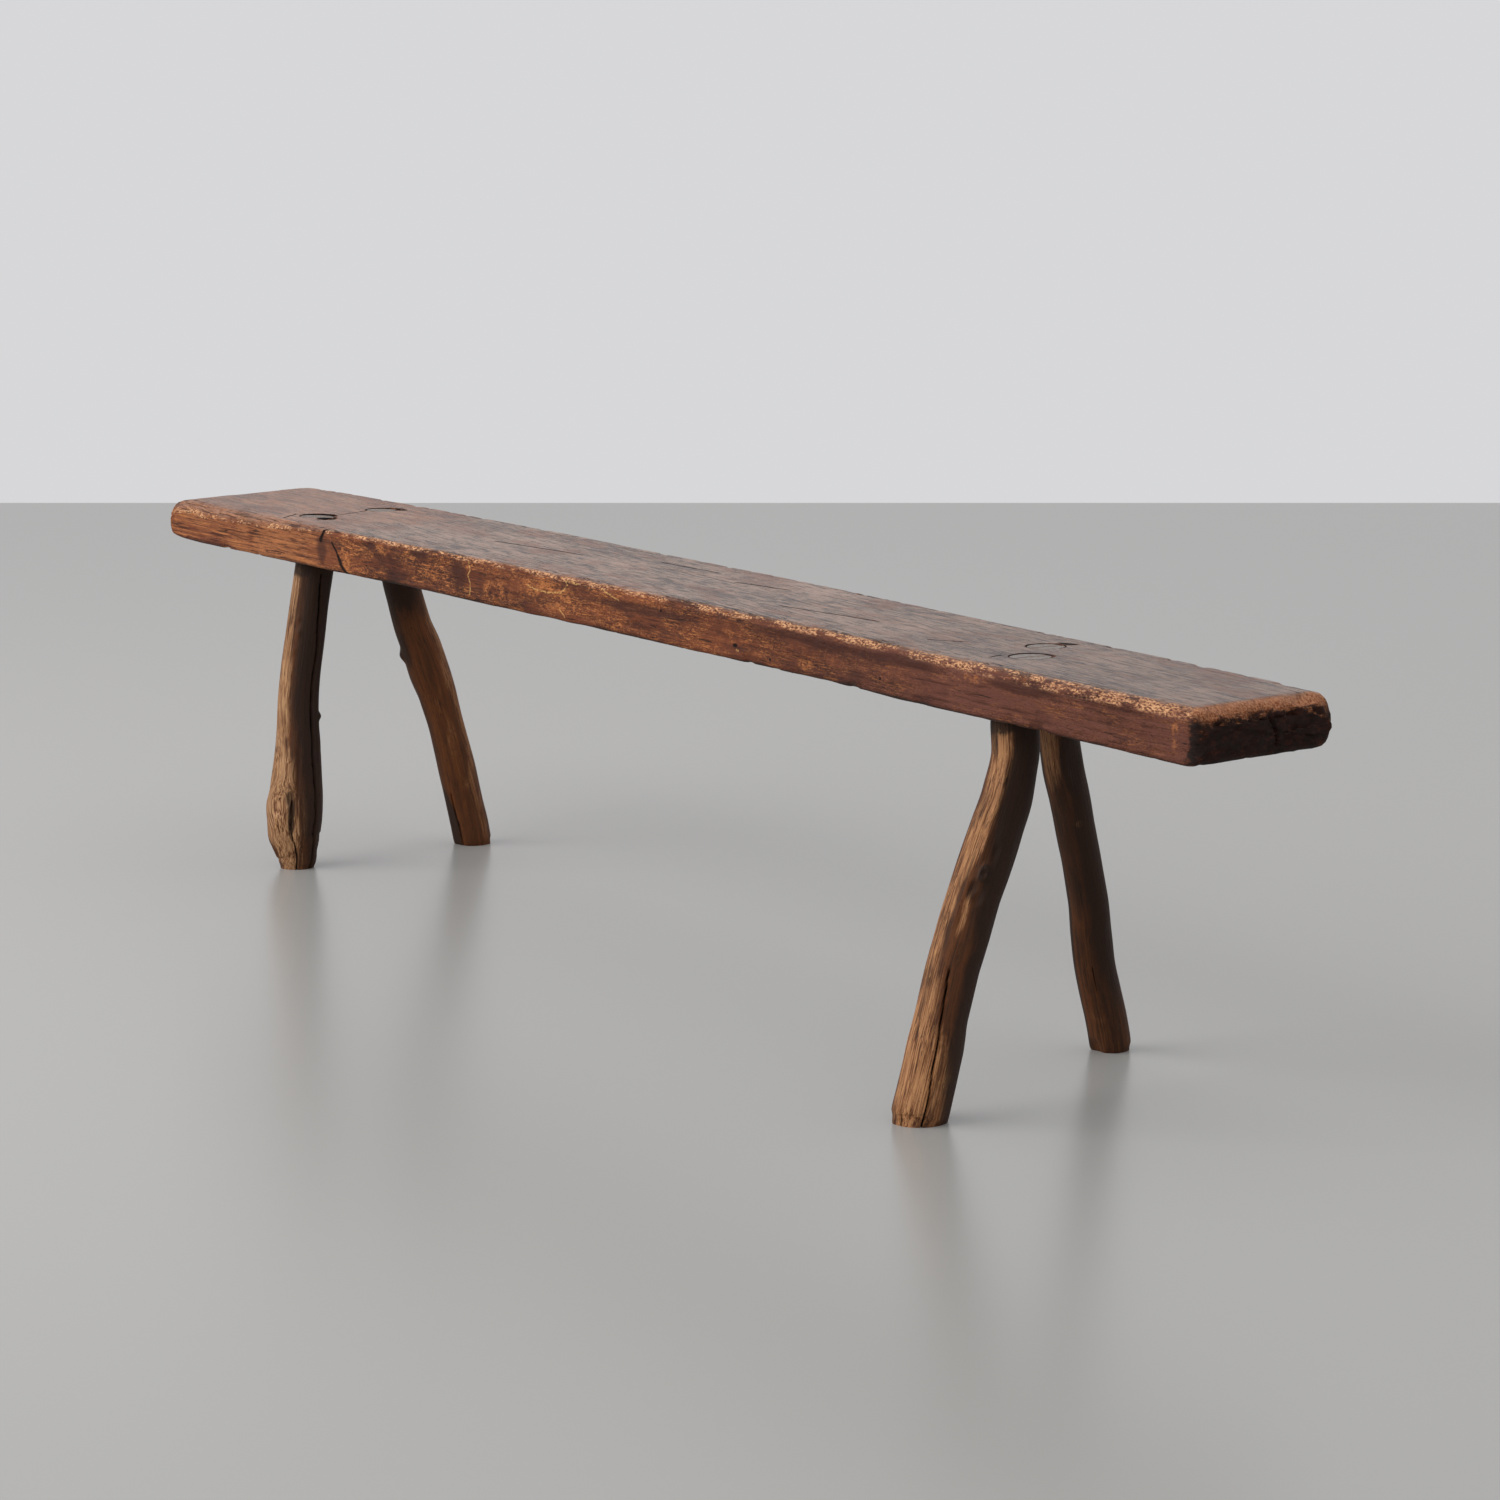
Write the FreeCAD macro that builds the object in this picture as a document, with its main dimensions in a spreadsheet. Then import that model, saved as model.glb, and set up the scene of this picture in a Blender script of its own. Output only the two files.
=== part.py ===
import FreeCAD, Part
import math
import os
import Sketcher

# Farmhouse bench: one long hewn plank on four crooked branch legs.
# Each leg ends in a shaved round tenon that tapers through the plank in a reamed mortise,
# and a thin wedge driven into a kerf across the tenon's end spreads it there.
# Frame: X along the plank, with the broad slanted end at low X, Y towards the rear, Z up.
# The origin is on the floor under the middle of the plank.

document = FreeCAD.newDocument("farmhouse_bench")
sheet = document.addObject("Spreadsheet::Sheet", "sizes")

# Driving sizes in millimetres and degrees: alias, value, meaning
SEAT_SIZES = [
    ("seat_height", 450, "floor to the flat of the seat"),
    ("seat_far_reach", 1112, "middle of the bench to the far end, on the centre line"),
    ("seat_near_reach", 1122, "middle of the bench to the near end, on the centre line"),
    ("seat_breadth", 230, "plank across, at its broad end"),
    ("seat_thickness", 57, "plank through, at its thick end"),
    ("seat_planing", 0.6, "planed off the hewn top to true it"),
    ("far_slant", 15, "turn of the far end from square"),
    ("near_slant", 8.3, "turn of the near end from square"),
    ("front_edge_radius", 14, "round of the front top edge where it is worn most"),
    ("rear_edge_radius", 11, "round of the rear top edge"),
    ("under_edge_radius", 6, "round of both bottom edges"),
    ("far_wear_length", 78, "how far the far end's rounding reaches in"),
    ("far_wear_front", 4, "far end's rounding at the front corner"),
    ("far_wear_rear", 44, "far end's rounding at the clipped rear corner"),
    ("far_wear_top", 13, "far end's rounding on top"),
    ("far_wear_under", 8, "far end's rounding below"),
    ("near_wear_length", 26, "how far the near end's rounding reaches in"),
    ("near_wear_front", 13, "near end's rounding at the front corner"),
    ("near_wear_rear", 17, "near end's rounding at the rear corner"),
    ("near_wear_top", 18, "near end's rounding on top"),
    ("near_wear_under", 10, "near end's rounding below"),
    ("notch_inset", 474, "far end of the plank to the saw notch in its front edge"),
    ("notch_width", 4, "saw notch at its mouth"),
    ("notch_height", 13, "saw notch down the front face"),
    ("notch_depth", 15, "saw notch into the plank"),
]
JOINT_SIZES = [
    ("fit_gap", 0.15, "gap round a tenon and a wedge"),
    ("shoulder", 1.5, "step from the branch in to the tenon, all round"),
    ("shoulder_gap", 1, "from the plank down to the nearest point of the shoulder"),
    ("overrun", 12, "how far a cutting shape runs past what it cuts"),
    ("wedge_depth", 32, "wedge, from the seat down"),
    ("wedge_thickness", 6, "wedge at the seat"),
    ("wedge_tip", 1.5, "wedge at its thin end"),
    ("wedge_inset", 1.5, "wedge's side edge, in from the tenon's skin"),
]
# Each leg: its tenon's centre at the seat, inset from that end of the plank and across from the
# middle, girth and bend of the branch, tenon at the neck and at the seat, and depth of its end
# below the seat.
LEG_SIZE_NAMES = ["inset", "across", "girth", "bend", "neck", "tip", "sink"]
LEG_SIZES = {
    "front_left": [343, -47, 51, 12, 47, 44, 1.5],
    "rear_left": [324, 57, 50, 6, 46, 42.5, 1.2],
    "front_right": [360, -17, 55, 10, 46, 41, 0.8],
    "rear_right": [411, 38, 43, 4, 41.5, 38, 0.8],
}
# Each leg's angles: lean of its top lengthwise (rake) and rearwards (splay), and slant of the
# tenon's end.
LEG_ANGLE_NAMES = ["rake", "splay", "end_slant"]
LEG_ANGLES = {
    "front_left": [-4.1, 6.6, 2.5],
    "rear_left": [-2.8, -14.5, 2],
    "front_right": [-4.6, 19.1, 0],
    "rear_right": [8.4, -17.1, 0],
}
FAR_LEGS = ("front_left", "rear_left")

# The plank between its worn ends, from the far one on. Columns: place along the length, front
# face and rear face as shares of the breadth, thickness, rounding of the front top, rear top and
# rear bottom edges, and how much of the far and of the near end's slant the section has.
HEWN_SHARES = [
    (0.062, 0.506, 0.525, 0.930, 1.30, 1.0, 1.0, 0.70, 0.0),
    (0.130, 0.487, 0.541, 0.926, 1.00, 1.0, 1.0, 0.30, 0.0),
    (0.210, 0.465, 0.556, 0.935, 0.60, 1.0, 1.0, 0.0, 0.0),
    (0.300, 0.436, 0.572, 0.928, 0.60, 1.0, 1.0, 0.0, 0.0),
    (0.400, 0.410, 0.550, 0.945, 0.70, 1.0, 1.0, 0.0, 0.0),
    (0.500, 0.396, 0.545, 0.938, 0.75, 1.0, 1.0, 0.0, 0.0),
    (0.600, 0.380, 0.523, 0.960, 0.80, 1.0, 1.0, 0.0, 0.0),
    (0.700, 0.380, 0.484, 0.955, 0.90, 1.0, 1.0, 0.0, 0.0),
    (0.800, 0.406, 0.452, 0.968, 0.95, 1.0, 1.0, 0.0, 0.0),
    (0.885, 0.413, 0.430, 0.955, 1.00, 1.0, 1.0, 0.0, 0.20),
    (0.950, 0.422, 0.417, 0.965, 1.00, 1.3, 1.2, 0.0, 0.60),
]
# The same columns, from the front face to the rear bottom edge, for the ends before their wear
FAR_END_SHARES = (0.515, 0.500, 0.93, 1.50, 1.0, 1.0)
NEAR_END_SHARES = (0.413, 0.420, 0.985, 1.00, 2.0, 3.0)
# The saw notch's width at its foot, as a share of its width at the mouth
NOTCH_FOOT_SHARE = 0.25
# The front face at the notch, as a share of the breadth
NOTCH_FRONT_SHARE = 0.465
# Places of the sections in the rounding of an end, from its face inwards
ROUNDING_SHARES = [0.0, 0.07, 0.22, 0.50, 1.0]

# Branches from below the floor up to the neck. Columns: height, bend lengthwise and
# crosswise as shares of the leg's bend, and breadth as a share of the girth.
BRANCH_SHARES = {
    "front_left": [
        (-0.030, -0.05, -0.10, 0.83), (0.030, -0.08, -0.12, 0.96), (0.055, -0.16, -0.26, 1.09),
        (0.080, -0.24, -0.40, 1.21), (0.115, -0.34, -0.58, 1.34), (0.170, -0.36, -0.60, 1.40),
        (0.230, -0.36, -0.60, 1.37), (0.290, -0.38, -0.62, 1.29), (0.350, -0.39, -0.64, 1.21),
        (0.400, -0.42, -0.66, 1.14), (0.460, -0.48, -0.75, 1.07), (0.550, -0.54, -0.86, 1.03),
        (0.640, -0.50, -0.78, 1.01), (0.750, -0.34, -0.56, 1.00), (0.870, -0.20, -0.34, 0.97),
    ],
    "rear_left": [
        (-0.050, -0.10, -0.10, 0.86), (0.025, 0.00, 0.05, 0.99), (0.075, 0.15, 0.25, 1.00),
        (0.140, 0.25, 0.40, 0.99), (0.230, 0.35, 0.60, 0.99), (0.330, 0.45, 0.74, 0.97),
        (0.420, 0.50, 0.80, 0.94), (0.510, 0.46, 0.78, 0.99), (0.600, 0.20, 0.40, 1.07),
        (0.680, 0.05, 0.15, 1.05), (0.770, -0.20, -0.38, 0.99), (0.880, -0.25, -0.42, 0.95),
    ],
    "front_right": [
        (-0.050, -0.05, -0.08, 0.86), (0.030, -0.05, -0.08, 1.06), (0.090, -0.04, -0.08, 1.05),
        (0.170, -0.08, -0.12, 1.05), (0.270, -0.16, -0.24, 0.98), (0.370, -0.18, -0.28, 0.98),
        (0.470, -0.08, -0.12, 1.00), (0.560, 0.02, 0.04, 0.98), (0.650, 0.22, 0.34, 1.00),
        (0.740, 0.38, 0.60, 0.97), (0.820, 0.52, 0.82, 0.94), (0.910, 0.46, 0.72, 0.88),
    ],
    "rear_right": [
        (-0.050, -0.10, -0.15, 0.82), (0.030, -0.07, -0.12, 1.04), (0.085, -0.10, -0.15, 1.03),
        (0.170, -0.28, -0.46, 1.02), (0.260, -0.42, -0.68, 1.01), (0.350, -0.22, -0.36, 1.00),
        (0.450, 0.12, 0.20, 0.98), (0.550, 0.10, 0.16, 0.96), (0.650, -0.02, -0.04, 0.97),
        (0.740, -0.14, -0.22, 0.99), (0.820, -0.32, -0.50, 1.01), (0.910, -0.25, -0.40, 0.99),
    ],
}
# How thick the plank is where a leg goes through it
THROUGH_SHARES = {"front_left": 0.928, "rear_left": 0.928, "front_right": 0.980, "rear_right": 0.975}
# A branch's section is an oval: its narrow way as a share of its broad way
OVAL_SHARE = 0.92
NECK_OVAL_SHARE = 0.98
# The broad way of the ovals lies across the view from the near front corner
OVAL_TURN = 58.0


def fill_sheet():
    """Write every driving size to the sheet under its alias."""
    rows = SEAT_SIZES + JOINT_SIZES
    for leg in LEG_SIZES:
        meaning = " of the " + leg.replace("_", " ") + " leg"
        for name, value in zip(LEG_SIZE_NAMES + LEG_ANGLE_NAMES, LEG_SIZES[leg] + LEG_ANGLES[leg]):
            rows = rows + [(leg + "_" + name, value, name.replace("_", " ") + meaning)]
    for row, (alias, value, meaning) in enumerate(rows, start=1):
        sheet.set("A%d" % row, alias)
        sheet.set("B%d" % row, str(value))
        sheet.set("C%d" % row, meaning)
        sheet.setAlias("B%d" % row, alias)
    document.recompute()


def number(expression):
    """The present value of an expression on the sheet."""
    return float(sheet.evalExpression(expression.replace("sizes.", "")))


def new_body(label, along, across, up):
    """A body with its own name, placed by expressions."""
    body = document.addObject("PartDesign::Body", label)
    body.Label = label
    body.setExpression("Placement.Base.x", along)
    body.setExpression("Placement.Base.y", across)
    body.setExpression("Placement.Base.z", up)
    return body


def attach(feature, body, role, base, turns):
    """Attach a sketch or a primitive to one of the body's planes, shifted and turned."""
    plane = [item for item in body.Origin.OriginFeatures if item.Role == role][0]
    feature.AttachmentSupport = [(plane, "")]
    feature.MapMode = "FlatFace"
    offset = "placement(vector(%s; %s; %s); rotation(%s; %s; %s))" % (tuple(base) + tuple(turns))
    feature.setExpression("AttachmentOffset", offset)


def new_sketch(body, name, role, base, turns):
    sketch = body.newObject("Sketcher::SketchObject", name)
    attach(sketch, body, role, base, turns)
    return sketch


def constrain(sketch, name, expression, *constraint):
    """Add one dimension, named and bound to the sheet."""
    index = sketch.addConstraint(Sketcher.Constraint(*constraint))
    sketch.renameConstraint(index, name)
    sketch.setExpression("Constraints." + name, expression)


def draw_polygon(sketch, corners):
    """A closed outline whose corners are pairs of expressions."""
    places = [FreeCAD.Vector(number(across), number(up), 0) for across, up in corners]
    for start, end in zip(places, places[1:] + places[:1]):
        sketch.addGeometry(Part.LineSegment(start, end))
    for side in range(len(corners)):
        following = (side + 1) % len(corners)
        sketch.addConstraint(Sketcher.Constraint("Coincident", side, 2, following, 1))
    for side, (across, up) in enumerate(corners):
        at = places[side]
        constrain(sketch, "across_%d" % side, across, "DistanceX", -1, 1, side, 1, at.x)
        constrain(sketch, "up_%d" % side, up, "DistanceY", -1, 1, side, 1, at.y)


def draw_oval(sketch, centre_across, centre_up, broad, narrow):
    """An ellipse with its broad way at the oval turn."""
    middle = FreeCAD.Vector(number(centre_across), number(centre_up), 0)
    half_broad = number(broad) / 2
    half_narrow = number(narrow) / 2
    turn = math.radians(OVAL_TURN)
    broad_way = FreeCAD.Vector(math.cos(turn), math.sin(turn), 0)
    narrow_way = FreeCAD.Vector(-math.sin(turn), math.cos(turn), 0)
    broad_tip = middle + broad_way * half_broad
    narrow_tip = middle + narrow_way * half_narrow
    oval = sketch.addGeometry(Part.Ellipse(broad_tip, narrow_tip, middle))
    sketch.exposeInternalGeometry(oval)
    broad_line = oval + 1
    narrow_line = oval + 2
    constrain(sketch, "centre_across", centre_across, "DistanceX", -1, 1, oval, 3, middle.x)
    constrain(sketch, "centre_up", centre_up, "DistanceY", -1, 1, oval, 3, middle.y)
    constrain(sketch, "broad", broad, "Distance", broad_line, 2 * half_broad)
    constrain(sketch, "narrow", narrow, "Distance", narrow_line, 2 * half_narrow)
    sketch.addConstraint(Sketcher.Constraint("Angle", broad_line, turn))


def draw_circle(sketch, radius):
    """A circle round the sketch's own origin."""
    sketch.addGeometry(Part.Circle(FreeCAD.Vector(0, 0, 0), FreeCAD.Vector(0, 0, 1), number(radius)))
    sketch.addConstraint(Sketcher.Constraint("Coincident", 0, 3, -1, 1))
    constrain(sketch, "radius", radius, "Radius", 0, number(radius))


def draw_hewn_section(sketch, front, rear, under, top, rounds):
    """A plank's section: four flats joined by four tangent arcs, anticlockwise from the underside."""
    low_y, high_y, low_z, high_z = number(front), number(rear), number(under), number(top)
    corners = [(high_y, low_z), (high_y, high_z), (low_y, high_z), (low_y, low_z)]
    radii = [number(expression) for expression in rounds]
    inward = [(-1, 1), (-1, -1), (1, -1), (1, 1)]
    for (y, z), (side_y, side_z), radius, quarter in zip(corners, inward, radii, range(4)):
        middle = FreeCAD.Vector(y + side_y * radius, z + side_z * radius, 0)
        circle = Part.Circle(middle, FreeCAD.Vector(0, 0, 1), radius)
        start = (quarter - 1) * math.pi / 2
        sketch.addGeometry(Part.ArcOfCircle(circle, start, start + math.pi / 2))
    arcs = [sketch.Geometry[index] for index in range(4)]
    for index in range(4):
        line = Part.LineSegment(arcs[index].EndPoint, arcs[(index + 1) % 4].StartPoint)
        sketch.addGeometry(line)
    for index in range(4):
        line = 4 + index
        sketch.addConstraint(Sketcher.Constraint("Tangent", index, 2, line, 1))
        sketch.addConstraint(Sketcher.Constraint("Tangent", line, 2, (index + 1) % 4, 1))
        flat = "Vertical" if index % 2 == 0 else "Horizontal"
        sketch.addConstraint(Sketcher.Constraint(flat, line))
        constrain(sketch, "round_%d" % index, rounds[index], "Radius", index, radii[index])
    constrain(sketch, "rear", rear, "DistanceX", -1, 1, 4, 1, high_y)
    constrain(sketch, "top", top, "DistanceY", -1, 1, 5, 1, high_z)
    constrain(sketch, "front", front, "DistanceX", -1, 1, 6, 1, low_y)
    constrain(sketch, "under", under, "DistanceY", -1, 1, 7, 1, low_z)


def loft(body, name, sections):
    feature = body.newObject("PartDesign::AdditiveLoft", name)
    feature.Profile = sections[0]
    feature.Sections = sections[1:]
    feature.Ruled = True
    return feature


def leg_terms(leg):
    """The expressions that a leg, its wedge and its mortise share."""
    size = {name: "sizes.%s_%s" % (leg, name) for name in LEG_SIZE_NAMES + LEG_ANGLE_NAMES}
    run_along = "tan(%(rake)s)" % size
    run_across = "(tan(%(splay)s) / cos(%(rake)s))" % size
    upright = "(cos(%(rake)s) * cos(%(splay)s))" % size
    # The shoulder lies so far down that its tilted ring is clear of the plank's underside
    ring_rise = "(%s / 2 + sizes.shoulder) * sqrt(1 - %s ^ 2)" % (size["neck"], upright)
    neck_height = "(sizes.seat_height - sizes.seat_thickness * %g - sizes.shoulder_gap - %s)" % (
        THROUGH_SHARES[leg], ring_rise)
    terms = dict(size)
    if leg in FAR_LEGS:
        terms["along"] = "(%s - sizes.seat_far_reach)" % size["inset"]
    else:
        terms["along"] = "(sizes.seat_near_reach - %s)" % size["inset"]
    terms["run_along"] = run_along
    terms["run_across"] = run_across
    terms["upright"] = upright
    terms["neck_height"] = neck_height
    terms["taper"] = "((%s - %s) / 2 / (sizes.seat_height - %s))" % (size["neck"], size["tip"], neck_height)
    terms["tilt"] = ("0", size["rake"], "-" + size["splay"])
    terms["foot_along"] = "%s - sizes.seat_height * %s" % (terms["along"], run_along)
    terms["foot_across"] = "%s - sizes.seat_height * %s" % (size["across"], run_across)
    return terms


def on_axis(terms, height):
    """The point of a leg's axis at a height, from its foot."""
    return ("%s * %s" % (height, terms["run_along"]), "%s * %s" % (height, terms["run_across"]), height)


def set_taper(cone, terms, widening, top):
    """Size a cone that runs from the neck up to a height, along a tenon's taper."""
    rise = "(%s - %s)" % (top, terms["neck_height"])
    cone.setExpression("Radius1", "%s / 2 + %s" % (terms["neck"], widening))
    cone.setExpression("Radius2", "%s / 2 + %s - %s * %s" % (terms["neck"], widening, terms["taper"], rise))
    cone.setExpression("Height", "%s / %s" % (rise, terms["upright"]))


def wedge_outline(gap, rise):
    """A wedge's thickness against its depth, from the seat's level."""
    half_rise = "((sizes.wedge_thickness - sizes.wedge_tip) / 2 * %s / sizes.wedge_depth)" % rise
    half_low = "(sizes.wedge_tip / 2 + %s)" % gap
    half_high = "(sizes.wedge_thickness / 2 + %s + %s)" % (gap, half_rise)
    bottom = "-(sizes.wedge_depth + %s)" % gap
    return [("-" + half_low, bottom), (half_low, bottom), (half_high, rise), ("-" + half_high, rise)]


def trim_end(body, terms, base, reach):
    """Saw a tenon or a wedge off below the seat, level across but for its own slant."""
    lowered = (base[0], base[1], "%s - %s" % (base[2], terms["sink"]))
    sketch = new_sketch(body, "end_saw", "XY_Plane", lowered, ("0", "0", "-" + terms["end_slant"]))
    draw_circle(sketch, reach)
    cut = body.newObject("PartDesign::Pocket", "sawn_end")
    cut.Profile = sketch
    cut.Type = "Length"
    cut.Reversed = True
    cut.setExpression("Length", "2 * sizes.overrun + " + reach)
    return cut


def make_seat():
    """The plank: hewn sections lofted, planed flat on top, bored for the legs and notched."""
    body = new_body("seat_plank", "0", "0", "0")
    top = "(sizes.seat_height + sizes.seat_planing)"

    def section(name, place, yaw, shares, wear, worn):
        front_share, rear_share, thick_share, front_round_share, rear_round_share, under_round_share = shares
        sketch = new_sketch(body, name, "YZ_Plane", ("0", "0", place), ("0", yaw, "0"))
        front = "-sizes.seat_breadth * %g + %s" % (front_share, worn("front", wear))
        rear = "sizes.seat_breadth * %g - %s" % (rear_share, worn("rear", wear))
        under = "sizes.seat_height - sizes.seat_thickness * %g + %s" % (thick_share, worn("under", wear))
        high = "%s - %s" % (top, worn("top", wear))
        under_round = "sizes.under_edge_radius * %g" % under_round_share
        rear_round = "sizes.rear_edge_radius * %g" % rear_round_share
        front_round = "sizes.front_edge_radius * %g" % front_round_share
        rounds = [under_round, rear_round, front_round, "sizes.under_edge_radius"]
        draw_hewn_section(sketch, front, rear, under, high, rounds)
        return sketch

    def end_worn(end):
        return lambda side, wear: "sizes.%s_wear_%s * %g" % (end, side, wear)

    def unworn(side, wear):
        return "0"

    sections = []
    for index, share in enumerate(ROUNDING_SHARES):
        wear = 1 - math.sqrt(1 - (1 - share) ** 2)
        place = "-sizes.seat_far_reach + sizes.far_wear_length * %g" % share
        name = "far_end_%d" % index
        sections.append(section(name, place, "sizes.far_slant", FAR_END_SHARES, wear, end_worn("far")))
    for index, row in enumerate(HEWN_SHARES):
        place = "(sizes.seat_far_reach + sizes.seat_near_reach) * %g - sizes.seat_far_reach" % row[0]
        yaw = "sizes.far_slant * %g + sizes.near_slant * %g" % (row[7], row[8])
        sections.append(section("hewn_%d" % index, place, yaw, row[1:7], 0, unworn))
    for index, share in enumerate(reversed(ROUNDING_SHARES)):
        wear = 1 - math.sqrt(1 - (1 - share) ** 2)
        place = "sizes.seat_near_reach - sizes.near_wear_length * %g" % share
        name = "near_end_%d" % index
        sections.append(section(name, place, "sizes.near_slant", NEAR_END_SHARES, wear, end_worn("near")))
    loft(body, "hewn_plank", sections)

    planing = new_sketch(body, "planing", "XY_Plane", ("0", "0", "sizes.seat_height"), ("0", "0", "0"))
    half_length = "(sizes.seat_far_reach + sizes.seat_near_reach)"
    draw_polygon(planing, [
        ("-" + half_length, "-sizes.seat_breadth"), (half_length, "-sizes.seat_breadth"),
        (half_length, "sizes.seat_breadth"), ("-" + half_length, "sizes.seat_breadth"),
    ])
    planed = body.newObject("PartDesign::Pocket", "planed_top")
    planed.Profile = planing
    planed.Type = "Length"
    planed.Reversed = True
    planed.setExpression("Length", "sizes.overrun")

    # The notch's inner wall, from which it is cut outwards through the front face
    inner_wall = "sizes.seat_breadth * %g - sizes.notch_depth" % NOTCH_FRONT_SHARE
    place = ("sizes.notch_inset - sizes.seat_far_reach", "sizes.seat_height", inner_wall)
    notch = new_sketch(body, "notch_profile", "XZ_Plane", place, ("0", "0", "0"))
    foot = "sizes.notch_width / 2 * %g" % NOTCH_FOOT_SHARE
    draw_polygon(notch, [
        ("-sizes.notch_width / 2", "sizes.overrun"), ("-sizes.notch_width / 2", "0"),
        ("-" + foot, "-sizes.notch_height"), (foot, "-sizes.notch_height"),
        ("sizes.notch_width / 2", "0"), ("sizes.notch_width / 2", "sizes.overrun"),
    ])
    sawn = body.newObject("PartDesign::Pocket", "saw_notch")
    sawn.Profile = notch
    sawn.Type = "Length"
    sawn.Reversed = True
    sawn.setExpression("Length", "sizes.notch_depth + sizes.overrun")
    return body


def make_leg(leg):
    """One branch leg: lofted limb, shaved tenon, foot sawn level, end sawn off and kerfed."""
    terms = leg_terms(leg)
    body = new_body("leg_" + leg, terms["foot_along"], terms["foot_across"], "0")
    rings = []
    for index, (height_share, along_share, across_share, broad_share) in enumerate(BRANCH_SHARES[leg]):
        height = "%s * %g" % (terms["neck_height"], height_share)
        ring = new_sketch(body, "ring_%d" % index, "XY_Plane", on_axis(terms, height), terms["tilt"])
        broad = "%s * %g" % (terms["girth"], broad_share)
        draw_oval(ring, "%s * %g" % (terms["bend"], along_share), "%s * %g" % (terms["bend"], across_share),
                  broad, "%s * %g" % (broad, OVAL_SHARE))
        rings.append(ring)
    neck = new_sketch(body, "neck_ring", "XY_Plane", on_axis(terms, terms["neck_height"]), terms["tilt"])
    shoulder = "(%s + 2 * sizes.shoulder)" % terms["neck"]
    draw_oval(neck, "0", "0", shoulder, "%s * %g" % (shoulder, NECK_OVAL_SHARE))
    rings.append(neck)
    loft(body, "branch", rings)

    tenon = body.newObject("PartDesign::AdditiveCone", "tenon")
    attach(tenon, body, "XY_Plane", on_axis(terms, terms["neck_height"]), terms["tilt"])
    set_taper(tenon, terms, "0", "(sizes.seat_height + sizes.overrun)")

    ground = new_sketch(body, "floor_line", "XY_Plane", ("0", "0", "0"), ("0", "0", "0"))
    draw_circle(ground, "2 * " + terms["girth"])
    foot = body.newObject("PartDesign::Pocket", "sawn_foot")
    foot.Profile = ground
    foot.Type = "Length"
    foot.Reversed = False
    foot.setExpression("Length", "2 * " + terms["girth"])

    trim_end(body, terms, on_axis(terms, "sizes.seat_height"), terms["neck"])

    kerf_tilt = ("0", terms["rake"], "90 - " + terms["splay"])
    profile = new_sketch(body, "kerf_profile", "XY_Plane", on_axis(terms, "sizes.seat_height"), kerf_tilt)
    draw_polygon(profile, wedge_outline("sizes.fit_gap", "sizes.overrun"))
    kerf = body.newObject("PartDesign::Pocket", "kerf")
    kerf.Profile = profile
    kerf.Type = "Length"
    kerf.Midplane = True
    kerf.setExpression("Length", "2 * " + terms["neck"])
    return body


def make_wedge(leg):
    """The wedge in a tenon's end: a tapered slip as wide as the tenon, sawn off with it."""
    terms = leg_terms(leg)
    body = new_body("wedge_" + leg, terms["along"], terms["across"], "sizes.seat_height")
    kerf_tilt = ("0", terms["rake"], "90 - " + terms["splay"])
    profile = new_sketch(body, "slip_profile", "XY_Plane", ("0", "0", "0"), kerf_tilt)
    draw_polygon(profile, wedge_outline("0", "sizes.overrun"))
    slip = body.newObject("PartDesign::Pad", "slip")
    slip.Profile = profile
    slip.Midplane = True
    slip.setExpression("Length", "%s - 2 * sizes.wedge_inset" % terms["tip"])
    trim_end(body, terms, ("0", "0", "0"), terms["neck"])
    return body


def bore_mortises(body):
    """Ream the four mortises through the plank along the legs' own axes."""
    for leg in LEG_SIZES:
        terms = leg_terms(leg)
        from_foot = on_axis(terms, terms["neck_height"])
        base_along = "%s + %s" % (terms["foot_along"], from_foot[0])
        base_across = "%s + %s" % (terms["foot_across"], from_foot[1])
        base = (base_along, base_across, from_foot[2])
        mortise = body.newObject("PartDesign::SubtractiveCone", "mortise_" + leg)
        attach(mortise, body, "XY_Plane", base, terms["tilt"])
        set_taper(mortise, terms, "sizes.fit_gap", "(sizes.seat_height + 2 * sizes.overrun)")


fill_sheet()
seat = make_seat()
bore_mortises(seat)
parts = [seat]
for leg_name in LEG_SIZES:
    branch_leg = make_leg(leg_name)
    parts.append(branch_leg)
for leg_name in LEG_SIZES:
    parts.append(make_wedge(leg_name))
document.recompute()

broken = []
for item in document.Objects:
    if "Invalid" in item.State or "Error" in item.State:
        broken.append(item.Name)
for part in parts:
    if part.Shape.isNull() or not part.Shape.isValid():
        broken.append(part.Label)
if broken:
    raise RuntimeError("not built: " + ", ".join(broken))

os.makedirs("parts", exist_ok=True)
for part in parts:
    part.Shape.exportStep("parts/%s.step" % part.Label)
    print(part.Label, "%.0f mm3" % part.Shape.Volume)
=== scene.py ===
import itertools
import math
from functools import reduce
from operator import or_

import bmesh
import bpy
import numpy as np
from bpy.props import FloatProperty, FloatVectorProperty, IntProperty, PointerProperty
from mathutils import Matrix, Vector


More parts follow.
